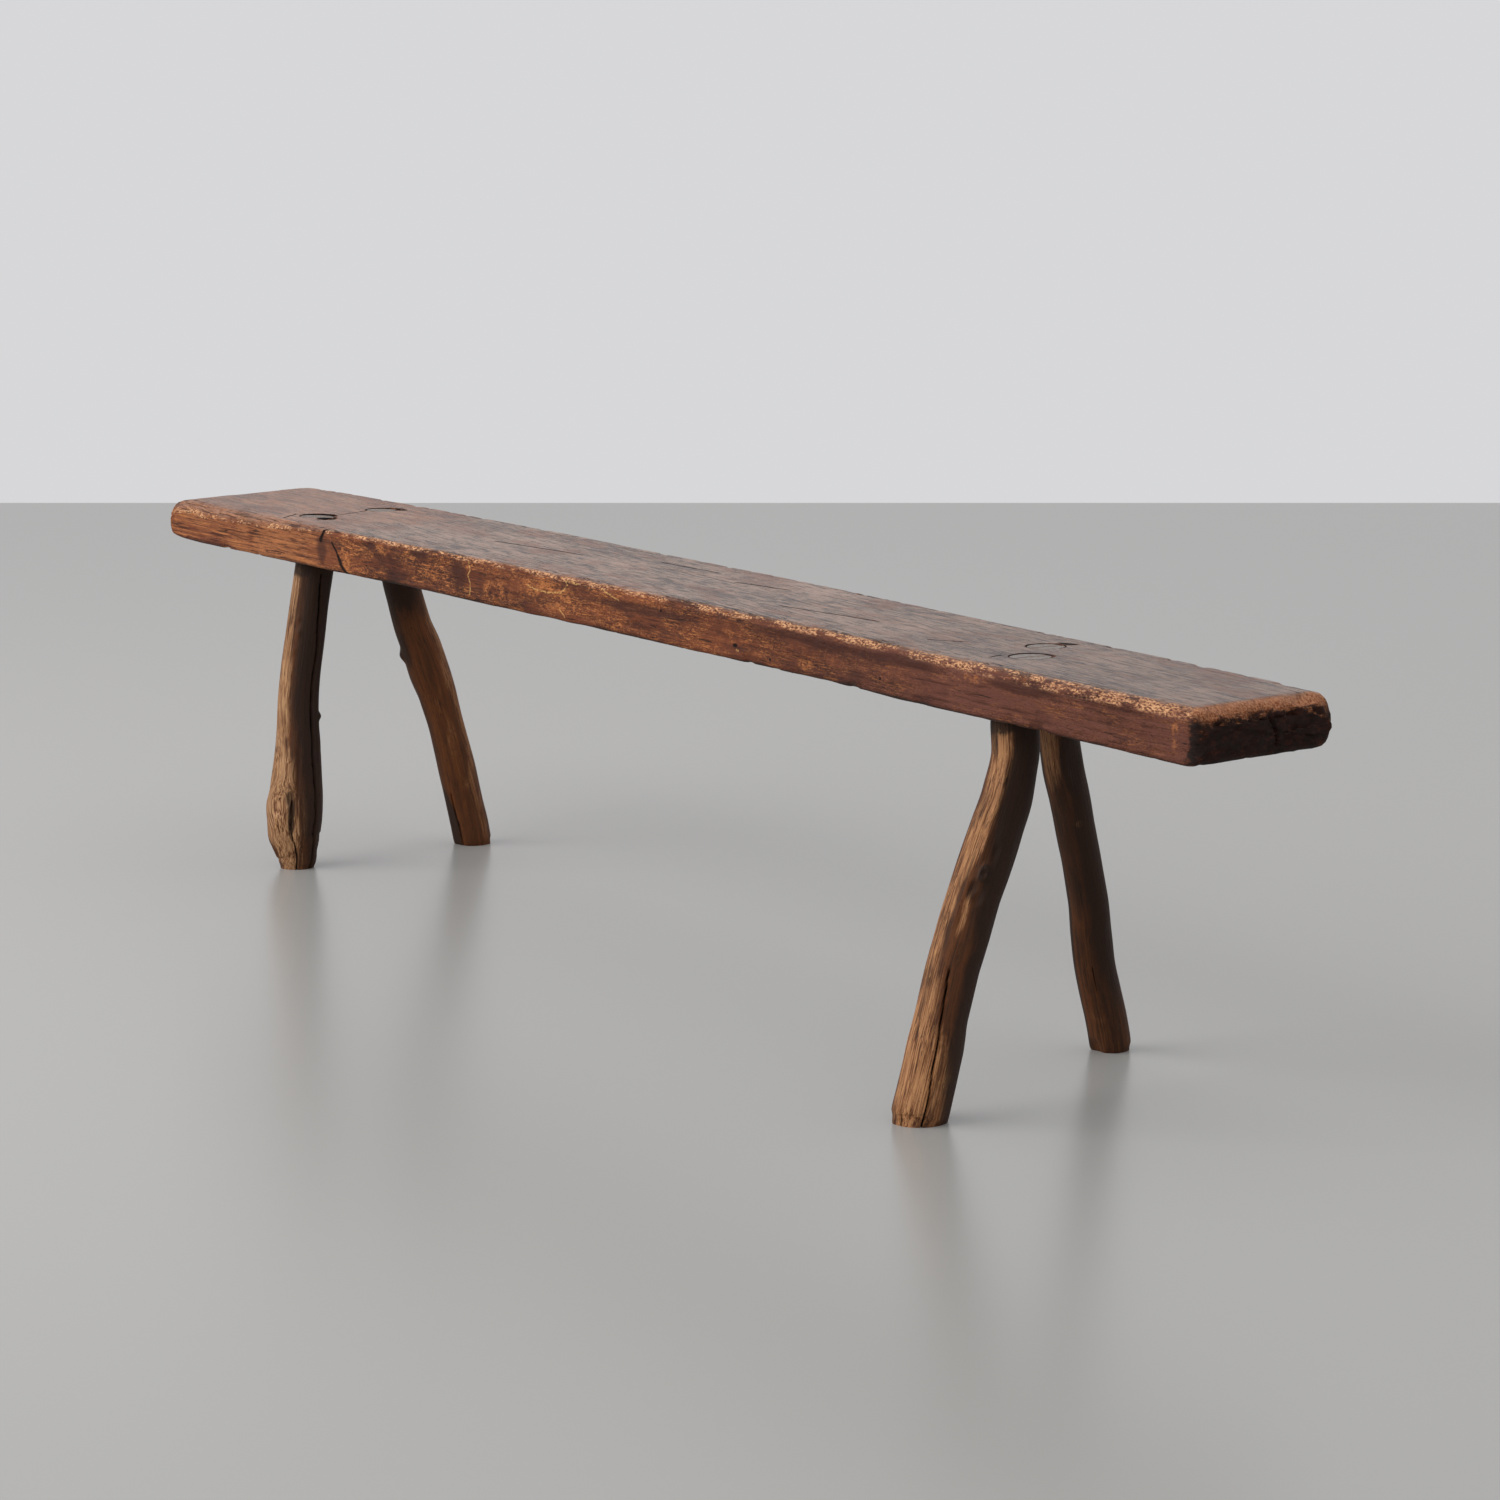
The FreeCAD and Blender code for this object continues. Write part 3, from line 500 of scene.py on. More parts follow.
def tube(name, rings):
    """A closed piece of rings of points, with a flat face at each end."""
    rings = np.array(rings)
    levels, count = rings.shape[:2]
    size = levels * count
    ends = [tuple(range(count)), tuple(range(size - 1, size - count - 1, -1))]
    piece = new_piece(name, rings.reshape(-1, 3), ring_faces(levels, count) + ends)
    work = bmesh.new()
    work.from_mesh(piece.data)
    put_back(work, piece.data)
    return piece


def read_points(mesh):
    points = np.empty(len(mesh.vertices) * 3)
    mesh.vertices.foreach_get("co", points)
    return points.reshape(-1, 3)


def write_points(mesh, points):
    mesh.vertices.foreach_set("co", np.ascontiguousarray(points, np.float32).ravel())
    mesh.update()


def read_normals(mesh):
    normals = np.empty(len(mesh.vertices) * 3)
    mesh.vertex_normals.foreach_get("vector", normals)
    return normals.reshape(-1, 3)


def keep_number(mesh, name, values):
    attribute = mesh.attributes.get(name) or mesh.attributes.new(name, "FLOAT", "POINT")
    attribute.data.foreach_set("value", np.ascontiguousarray(values, np.float32))


def read_number(mesh, name):
    values = np.empty(len(mesh.vertices), np.float32)
    mesh.attributes[name].data.foreach_get("value", values)
    return values.astype(float)


def settle(piece):
    """Replace a piece's mesh by what its modifiers make of it."""
    bpy.context.view_layer.update()
    graph = bpy.context.evaluated_depsgraph_get()
    mesh = bpy.data.meshes.new_from_object(
        piece.evaluated_get(graph), preserve_all_data_layers=True, depsgraph=graph)
    piece.modifiers.clear()
    old = piece.data
    piece.data = mesh
    bpy.data.meshes.remove(old)
    mesh.name = piece.name


def carve(piece, cutters):
    """Cut solid cutters out of a piece, one after another, and clear the cutters away."""
    for cutter in cutters:
        cut = piece.modifiers.new("cut", "BOOLEAN")
        cut.operation = "DIFFERENCE"
        cut.solver = "EXACT"
        cut.object = cutter
        settle(piece)
        # Its object goes with it
        bpy.data.meshes.remove(cutter.data)


def finish_piece(piece, node, material, sharp):
    """Shade a piece, give it its material and let it stand for its node."""
    mesh = piece.data
    mesh.materials.clear()
    mesh.materials.append(material)
    mesh.polygons.foreach_set("material_index", np.zeros(len(mesh.polygons), np.int32))
    mesh.polygons.foreach_set("use_smooth", np.ones(len(mesh.polygons), bool))
    mesh.set_sharp_from_angle(angle=math.radians(sharp))
    mesh.update()
    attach(piece, "root")
    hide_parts(node)


# Node sheets


class Value:
    """What a node gives out, so that sums can be written as sums."""

    def __init__(self, sheet, socket):
        self.sheet = sheet
        self.socket = socket

    def __add__(self, other):
        return self.sheet.math("ADD", self, other)

    def __sub__(self, other):
        return self.sheet.math("SUBTRACT", self, other)

    def __rsub__(self, other):
        return self.sheet.math("SUBTRACT", other, self)

    def __mul__(self, other):
        return self.sheet.math("MULTIPLY", self, other)

    def __truediv__(self, other):
        return self.sheet.math("DIVIDE", self, other)

    def __or__(self, other):
        """The greater of the two."""
        return self.sheet.math("MAXIMUM", self, other)

    def step(self, start, end):
        """0 at the start, 1 at the end and a soft step between them, whichever is the greater."""
        rising = start < end
        return self.sheet.give("ShaderNodeMapRange", 0, {
            "Value": self, "From Min": min(start, end), "From Max": max(start, end),
            "To Min": 0.0 if rising else 1.0, "To Max": 1.0 if rising else 0.0,
        }, interpolation_type="SMOOTHSTEP")

    def paint(self, tint, share):
        """This colour with a tint laid over it, as far as the share says."""
        return self.sheet.mix(share, self, tint)


class Sheet:
    """A node tree, with short ways to add and join its nodes."""

    def __init__(self, tree):
        self.tree = tree

    def add(self, kind, inputs=None, **settings):
        """Add a node with its settings, and feed its inputs."""
        node = self.tree.nodes.new(kind)
        for key, value in settings.items():
            setattr(node, key, value)
        self.feed_all(node, inputs or {})
        return node

    def give(self, kind, output, inputs=None, **settings):
        """Add a node, for one of its outputs."""
        return Value(self, self.add(kind, inputs, **settings).outputs[output])

    def feed_all(self, node, inputs):
        """Join or set a node's inputs."""
        for key, value in inputs.items():
            socket = node.inputs[key]
            if isinstance(value, Value):
                value = value.socket
            if isinstance(value, bpy.types.NodeSocket):
                self.tree.links.new(value, socket)
            elif isinstance(value, (int, float, str)):
                socket.default_value = value
            else:
                opaque = (1.0,) if socket.type == "RGBA" and len(value) == 3 else ()
                socket.default_value = tuple(value) + opaque

    def math(self, operation, *values, clamp=False):
        inputs = dict(enumerate(values))
        return self.give("ShaderNodeMath", 0, inputs, operation=operation, use_clamp=clamp)


# Plank


def plank_sections(plank, places, far_part, near_part):
    """Sizes of the plank's sections at places along it, in metres."""
    whole = plank.far_reach + plank.near_reach
    far_end, near_end = (*FAR_END_SHARES, 1.0, 0.0), (*NEAR_END_SHARES, 0.0, 1.0)
    table = np.array([
        (0.0, *far_end), (plank.far_wear / whole, *far_end), *HEWN_SHARES,
        (1 - plank.near_wear / whole, *near_end), (1.0, *near_end),
    ])
    share = (places + plank.far_reach) / whole
    front_at, rear_at, thick, front_round, rear_round, under_round, far_turn, near_turn = [
        smooth_curve(table[:, 0], table[:, index], share) for index in range(1, 9)]
    far = 1 - np.sqrt(np.clip(1 - (1 - far_part) ** 2, 0, 1))
    near = 1 - np.sqrt(np.clip(1 - (1 - near_part) ** 2, 0, 1))
    # The far end's front corner and under edge stay crisper
    crisp = 1 - np.cbrt(np.clip(1 - (1 - far_part) ** 3, 0, 1))
    worn = {side: np.array(reach) * MM for side, reach in WORN_BACK.items()}
    front = -plank.breadth * front_at + worn["front"] @ (crisp, near)
    rear = plank.breadth * rear_at - worn["rear"] @ (far, near)
    under = plank.seat_height - plank.thickness * thick + worn["under"] @ (crisp, near)
    hewn_top = plank.seat_height + plank.planing - worn["top"] @ (far, near)
    top = np.minimum(plank.seat_height, hewn_top)
    slant = plank.far_slant * far_turn + plank.near_slant * near_turn
    return front, rear, under, top, front_round, rear_round, under_round, slant


def plank_grid(plank):
    """Points of the plank's skin, ring by ring, and how each lies on it."""
    inner = np.arange(-plank.far_reach + plank.far_wear, plank.near_reach - plank.near_wear, PLANK_STEP)
    far_curve, near_curve = [
        1 - np.cos(np.linspace(0, math.pi / 2, rings + 1)) for rings in (FAR_RINGS, NEAR_RINGS)]
    places = np.concatenate([
        -plank.far_reach + plank.far_wear * far_curve[:-1], inner,
        (plank.near_reach - plank.near_wear * near_curve[:-1])[::-1],
    ])
    far_part = np.clip((places + plank.far_reach) / plank.far_wear, 0, 1)
    near_part = np.clip((plank.near_reach - places) / plank.near_wear, 0, 1)
    front, rear, under, top, front_share, rear_share, under_share, slant = plank_sections(
        plank, places, far_part, near_part)
    low_round = np.full_like(places, plank.under_round)
    front_round = plank.front_round * front_share
    rear_round = plank.rear_round * rear_share
    back_round = plank.under_round * under_share
    rows = []

    def add(*row):
        rows.append([np.broadcast_to(value, places.shape) for value in row])

    def flat(side):
        return np.linspace(0, 1, SECTION_POINTS[side], endpoint=False)

    def quarter(side):
        """How far a rounded corner's points still lie from its two faces, and how far round."""
        turned = [(part, part * math.pi / 2) for part in flat(side)]
        return [(1 - math.cos(angle), 1 - math.sin(angle), part) for part, angle in turned]

    # Round the section from the front's foot. Columns: across, up, how far the point looks up,
    # how much it is rubbed and how low it lies.
    for part in flat("front"):
        up = (under + low_round) * (1 - part) + (top - front_round) * part
        add(front, up, 0, part ** 14, (1 - part) ** 6)
    for leaving, nearing, part in quarter("front round"):
        add(front + front_round * leaving, top - front_round * nearing, part, 1, 0)
    for part in flat("top"):
        across = (front + front_round) * (1 - part) + (rear - rear_round) * part
        add(across, top, 1, max((1 - part) ** 26, part ** 40), 0)
    for leaving, nearing, part in quarter("rear round"):
        add(rear - rear_round * nearing, top - rear_round * leaving, 1 - part, 1, 0)
    for part in flat("rear"):
        add(rear, (top - rear_round) * (1 - part) + (under + back_round) * part, 0, 0, part ** 4)
    for leaving, nearing, part in quarter("low round"):
        add(rear - back_round * leaving, under + back_round * nearing, 0, 0, 1)
    for part in flat("under"):
        add((rear - back_round) * (1 - part) + (front + low_round) * part, under, 0, 0, 1)
    for leaving, nearing, part in quarter("low round"):
        add(front + low_round * nearing, under + low_round * leaving, 0, 0, 1)

    across, up, upward, arris, below = [np.array(column).T for column in zip(*rows)]
    count = across.shape[1]
    near_end = np.repeat(1 - near_part[:, None], count, 1)
    far_end = np.repeat((1 - far_part[:, None]) ** 3, count, 1)
    facing_up = between(0.3, 0.9, upward)
    arris = np.maximum(arris, between(0.05, 0.6, near_end) * facing_up)
    arris = np.maximum(arris, between(0.5, 1.0, far_end) * facing_up * 0.5)
    along = places[:, None] - across * np.sin(slant)[:, None]
    points = np.stack([along, across * np.cos(slant)[:, None], up], -1)
    # Each end is closed by rings that shrink to its middle
    shrink = np.linspace(1, 0, CAP_RINGS + 1)[1:]

    def cap(ring):
        sides = ring[ring[:, 1].argmax(), :2] + ring[ring[:, 1].argmin(), :2]
        middle = np.array([*sides / 2, (ring[:, 2].max() + ring[:, 2].min()) / 2])
        return np.array([middle + (ring - middle) * part for part in shrink])

    def with_caps(values, at_ends):
        blank = np.full((len(shrink), count), float(at_ends))
        return np.concatenate([blank, values, blank])

    return np.concatenate([cap(points[0])[::-1], points, cap(points[-1])]), {
        "upward": with_caps(upward, 0), "arris": with_caps(arris, 0),
        "below": with_caps(below, 0), "end": with_caps(np.maximum(far_end, near_end), 1),
    }


def plank_mesh(plank):
    """The plank's skin as a closed piece, each end's last ring drawn into one point."""
    points, facts = plank_grid(plank)
    rings, count = points.shape[0] - 2, points.shape[1]

    def closed(values):
        inner = values[1:-1].reshape(-1, *values.shape[2:])
        return np.concatenate([inner, values[0, :1], values[-1, -1:]])

    faces = ring_faces(rings, count)
    far_tip, near_tip, last = rings * count, rings * count + 1, (rings - 1) * count
    for k in range(count):
        follow = (k + 1) % count
        faces += [(far_tip, k, follow), (near_tip, last + follow, last + k)]
    piece = new_piece("seat_plank_hewn", closed(points), faces)
    for name, values in facts.items():
        keep_number(piece.data, name, closed(values))
    return piece


def plank_waves(points, name):
    """Random waves over the plank, of a kind that the table lists."""
    cell, seed, layers = PLANK_WAVES[name]
    return rough_waves(points / cell, seed, layers)


def hew_plank(plank, mesh):
    """Press the axe's waves, torn fibres, dents and the ends' roughness into the plank's skin."""
    points = read_points(mesh)
    upward, arris, below, end = [read_number(mesh, name) for name in ("upward", "arris", "below", "end")]
    x, y, z = points.T
    near_end = between(0.9, 1.05, x)
    sway = plank_waves(points, "sway") * plank.hewing
    torn = plank_waves(points, "torn") * plank.tearing
    depth = (1 - upward) * (1 - end) * (1 - below) * (sway + torn)
    depth = depth + below * (0.5 * sway + 1.4 * torn - DEPTHS["underside"])
    # The top is dished and scored, but nothing stands above it
    dished = np.maximum(plank_waves(points, "dished"), -0.4) + 0.4
    scored = between(0.45, 0.9, plank_waves(points, "scored"))
    depth = depth - upward * (1 - end) * dished * DEPTHS["dish"]
    depth = depth - upward * (1 - end) * scored * DEPTHS["score"]
    # Dents in the rubbed front edge, and chips along the lower one
    dents = plank_waves(points, "dents")
    depth = depth - arris * (between(0.0, 0.55, dents) + 0.1) * plank.pitting * (1 + end * near_end * 1.6)
    lower_edge = between(0.3, 0.9, below) * between(0.03, 0.08, np.abs(y))
    depth = depth - lower_edge * between(0.25, 0.6, plank_waves(points, "chips")) * DEPTHS["lower edge"]
    # Ends: weathered grain, dented inwards only
    crumbled = between(-0.35, 0.7, plank_waves(points, "crumbled"))
    depth = depth - end ** 2 * crumbled * (DEPTHS["far end"] + DEPTHS["near end"] * near_end)
    points = points + read_normals(mesh) * depth[:, None]
    # The gouge in the near end's rear top corner and the check down the end
    reach = np.linalg.norm((points - GOUGE_PLACE) / GOUGE_REACH, axis=1)
    points[:, 2] = points[:, 2] - between(1.0, 0.3, reach) * DEPTHS["gouge"]
    line = 0.002 + 0.006 * waves(np.outer(z / 0.02, (1, 0, 0)), 31) - (z - 0.42) * 0.30
    split = between(END_CHECK_HALF, 0.0, np.abs(points[:, 1] - line)) * between(0.5, 0.95, end) * near_end
    points[:, 0] = points[:, 0] - split * DEPTHS["end check"]
    # The chip broken out of the front left mortise's rim, long towards the near end
    off = (points[:, :2] - CHIP_PLACE) @ CHIP_TURN / CHIP_REACH
    chip = between(1.0, 0.35, np.hypot(*off.T) + dents * 0.15) * upward
    points[:, 2] = points[:, 2] - chip * DEPTHS["chip"]
    write_points(mesh, np.clip(points, *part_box("seat_plank")))


def mark_plank(mesh):
    """Note on each point of the plank how its colour differs from place to place."""
    points = read_points(mesh)
    x, y, z = points.T
    front = between(0.0, -0.05, y)
    slow = plank_waves(points, "slow")
    crowd = plank_waves(points, "crowd")

    def patches(rows):
        total = np.zeros(len(x))
        for middle, up, reach_along, reach_up in rows:
            distance = np.hypot((x - middle) / reach_along, (z - up) / reach_up)
            total = np.maximum(total, between(1.0, 0.4, distance + crowd * 0.25))
        return total * front

    edges = [between(1.0, 0.2, np.abs(x - middle) / reach) for middle, reach in BRIGHT_EDGES]
    for name, values in {
        "dark_patch": patches(DARK_PATCHES),
        "warm_patch": patches(WARM_PATCHES),
        "bright_edge": np.max(edges, axis=0) * front,
        "far_stretch": between(-0.59, -0.68, x + slow * 0.03),
        "near_stretch": between(0.30, 0.75, x + slow * 0.12) * 0.75,
        "lively": 0.32 + 0.68 * between(0.62, -0.05, x + crowd * 0.2),
    }.items():
        keep_number(mesh, name, values)


class Leg:
    """Where a leg stands and how it leans, worked out from its settings."""

    def __init__(self, name, settings, plank, joints):
        self.name = name
        self.seed = LEG_NAMES.index(name)
        self.settings = settings
        run_along = math.tan(settings.rake)
        run_across = math.tan(settings.splay) / math.cos(settings.rake)
        upright = math.cos(settings.rake) * math.cos(settings.splay)
        far = name.endswith("left")
        self.along = settings.inset - plank.far_reach if far else plank.near_reach - settings.inset
        ring_rise = (settings.neck / 2 + joints.shoulder) * math.sqrt(1 - upright ** 2)
        self.seat = plank.seat_height
        under = self.seat - plank.thickness * THROUGH_SHARES[name]
        self.neck_height = under - joints.shoulder_gap - ring_rise
        self.taper = (settings.neck - settings.tip) / 2 / (self.seat - self.neck_height)
        self.run = np.array([run_along, run_across, 1.0])
        self.foot = np.array([self.along, settings.across, self.seat]) - self.seat * self.run
        turned = Matrix.Rotation(settings.rake, 3, "Y") @ Matrix.Rotation(-settings.splay, 3, "X")
        self.side, self.cross, self.way = [np.array(column) for column in turned.col]
        self.saw_normal = Matrix.Rotation(-settings.end_slant, 3, "X") @ Vector((0, 0, 1))

    def at(self, height):
        """The place on the leg's axis at a height, or the places at some heights."""
        return self.foot + np.multiply.outer(np.asarray(height, float), self.run)

    def tenon_half(self, height):
        return self.settings.neck / 2 - self.taper * (height - self.neck_height)


def mortise_cutter(leg, joints):
    """A cone along the leg's axis, a little wider at the top where the rim is broken away."""
    angles = np.arange(MORTISE_SIDES) * 2 * math.pi / MORTISE_SIDES
    circle = np.stack([np.cos(angles), np.sin(angles), angles * 0], 1)
    ragged = rough_waves(circle * 2.2, 41 + leg.seed, 3)
    rings = []
    for height in (leg.neck_height - OVERRUN, *np.linspace(leg.seat - 0.016, leg.seat + OVERRUN, 12)):
        opened = between(leg.seat - RIM_DEPTH, leg.seat, height) * joints.rim_wear
        opened = opened * (0.35 + between(-0.3, 0.8, ragged))
        reach = leg.tenon_half(height) + joints.fit_gap + opened
        rings.append(leg.at(height) + np.outer(reach * circle[:, 0], leg.side)
                     + np.outer(reach * circle[:, 1], leg.cross))
    return tube("mortise_" + leg.name, rings)


def notch_cutter(plank):
    """The saw notch's wedge, broad at the seat and narrow at its foot."""
    place = plank.notch_inset - plank.far_reach
    wall = -plank.breadth * NOTCH_FRONT_SHARE + plank.notch_depth
    half = plank.notch_width / 2
    levels = [(half * NOTCH_FOOT_SHARE, plank.seat_height - plank.notch_height)]
    levels += [(half, plank.seat_height), (half, plank.seat_height + OVERRUN)]
    outline = [(place - reach, up) for reach, up in reversed(levels)]
    outline += [(place + reach, up) for reach, up in levels]
    return tube("notch", [[(x, y, z) for x, z in outline] for y in (wall - 0.04, wall)])


def kerf_cutter(leg, joints):
    """The kerf that a wedge is driven into: a tapered slot across the tenon's end."""
    gap = joints.fit_gap
    foot = joints.wedge_depth + gap
    low = joints.wedge_tip / 2 + gap
    widening = (joints.wedge_thickness - joints.wedge_tip) / 2 / joints.wedge_depth
    high = joints.wedge_thickness / 2 + gap + widening * KERF_RISE
    corners = [(-low, -foot), (low, -foot), (high, KERF_RISE), (-high, KERF_RISE)]
    return tube("kerf_" + leg.name, [
        [leg.at(leg.seat) + leg.side * across + leg.cross * reach + leg.way * up for across, up in corners]
        for reach in (-leg.settings.neck, leg.settings.neck)
    ])


# Branches


def branch_tree():
    """Skin a branch: a round section swept along its line, with fibres raised along it."""
    tree = bpy.data.node_groups.new("branch skin", "GeometryNodeTree")
    for name, kind in (
        ("Line", "Geometry"), ("Sides", "Int"), ("Fibre depth", "Float"), ("Fibre width", "Float"),
        ("Fibre length", "Float"), ("Seed", "Float"), ("Wood", "Material"),
    ):
        tree.interface.new_socket(name, in_out="INPUT", socket_type="NodeSocket" + kind)
    tree.interface.new_socket("Branch", in_out="OUTPUT", socket_type="NodeSocketGeometry")
    sheet = Sheet(tree)
    given = sheet.add("NodeGroupInput").outputs

    def named(name):
        return sheet.give("GeometryNodeInputNamedAttribute", "Attribute", {"Name": name}, data_type="FLOAT")

    def store(geometry, name, value):
        inputs = {"Geometry": geometry, "Name": name, "Value": value}
        kind = {"data_type": "FLOAT", "domain": "POINT"}
        return sheet.give("GeometryNodeStoreNamedAttribute", "Geometry", inputs, **kind)

    line = sheet.give("GeometryNodeMeshToCurve", "Curve", {"Mesh": given["Line"]})
    line = sheet.give("GeometryNodeSetCurveRadius", "Curve", {"Curve": line, "Radius": named("half_girth")})
    spine = store(line, "branch_run", sheet.give("GeometryNodeSplineParameter", "Length"))
    circle = {"Resolution": given["Sides"], "Radius": 1.0}
    circle = sheet.give("GeometryNodeCurvePrimitiveCircle", "Curve", circle, mode="RADIUS")
    section = store(circle, "branch_turn", sheet.give("GeometryNodeSplineParameter", "Factor"))
    skin = sheet.give("GeometryNodeCurveToMesh", "Mesh", {
        "Curve": spine, "Profile Curve": section, "Fill Caps": True, "Scale": named("half_girth")})

    angle = named("branch_turn") * (2 * math.pi)
    width = named("half_girth") / given["Fibre width"]
    cell = sheet.give("ShaderNodeCombineXYZ", "Vector", {
        "X": sheet.math("COSINE", angle) * width, "Y": sheet.math("SINE", angle) * width,
        "Z": named("branch_run") / given["Fibre length"]})
    fibres = sheet.give("ShaderNodeTexNoise", 0, {
        "Vector": cell, "W": given["Seed"], "Scale": 1.0, "Detail": 3.0, "Roughness": 0.55, "Distortion": 0.4,
    }, noise_dimensions="4D")
    raised = (fibres - 0.55) * given["Fibre depth"] * named("limb")
    normal = sheet.give("GeometryNodeInputNormal", "Normal")
    offset = sheet.give("ShaderNodeVectorMath", "Vector", {0: normal, "Scale": raised}, operation="SCALE")
    skin = sheet.give("GeometryNodeSetPosition", "Geometry", {"Geometry": skin, "Offset": offset})
    skin = sheet.give("GeometryNodeRealizeInstances", "Geometry", {"Geometry": skin})
    skin = sheet.give("GeometryNodeSetMaterial", "Geometry", {"Geometry": skin, "Material": given["Wood"]})
    sheet.add("NodeGroupOutput", {"Branch": skin})
    return tree


def branch_line(leg, joints, branch):
    """The branch's own line from below the floor to above the seat, with its girth."""
    neck = leg.settings.neck + 2 * joints.shoulder
    rings = np.vstack([BRANCH_SHARES[leg.name], [1.0, 0.0, 0.0, neck / leg.settings.girth]])
    heights = np.arange(rings[0, 0] * leg.neck_height, leg.neck_height, branch.step)
    heights = np.append(heights, leg.neck_height)
    along, across, breadth = [
        smooth_curve(rings[:, 0], rings[:, column], heights / leg.neck_height) for column in (1, 2, 3)]
    # The foot's edge is frayed round
    half = breadth * leg.settings.girth / 2 - (1 - between(0.0, 0.007, heights)) * FRAYED_FOOT
    bend = leg.settings.bend
    line = leg.at(heights) + np.outer(along * bend, leg.side) + np.outer(across * bend, leg.cross)
    tenon_heights = np.linspace(leg.neck_height + 0.00006, leg.seat + 0.010, TENON_RINGS)
    points = np.concatenate([line, leg.at(tenon_heights)])
    halves = np.concatenate([half, leg.tenon_half(tenon_heights)])
    limb = np.append(between(leg.neck_height, leg.neck_height - 0.02, heights), np.zeros(len(tenon_heights)))
    return points, halves, limb


def grow_branch(leg, line, halves, limb, branch, tree, material, roughness):
    """Sweep a branch's skin along its line."""
    edges = [(index, index + 1) for index in range(len(line) - 1)]
    piece = new_piece("leg_" + leg.name + "_branch", line, [], edges)
    keep_number(piece.data, "half_girth", halves)
    keep_number(piece.data, "limb", limb)
    skin = piece.modifiers.new("branch skin", "NODES")
    skin.node_group = tree
    values = {
        "Sides": branch.sides, "Fibre depth": branch.fibre_depth * roughness, "Wood": material,
        "Fibre width": branch.fibre_width, "Fibre length": branch.fibre_length,
        "Seed": branch.seed + leg.seed * 3.7,
    }
    for item in tree.interface.items_tree:
        if item.in_out == "INPUT" and item.name in values:
            skin[item.identifier] = values[item.name]
    settle(piece)
    return piece


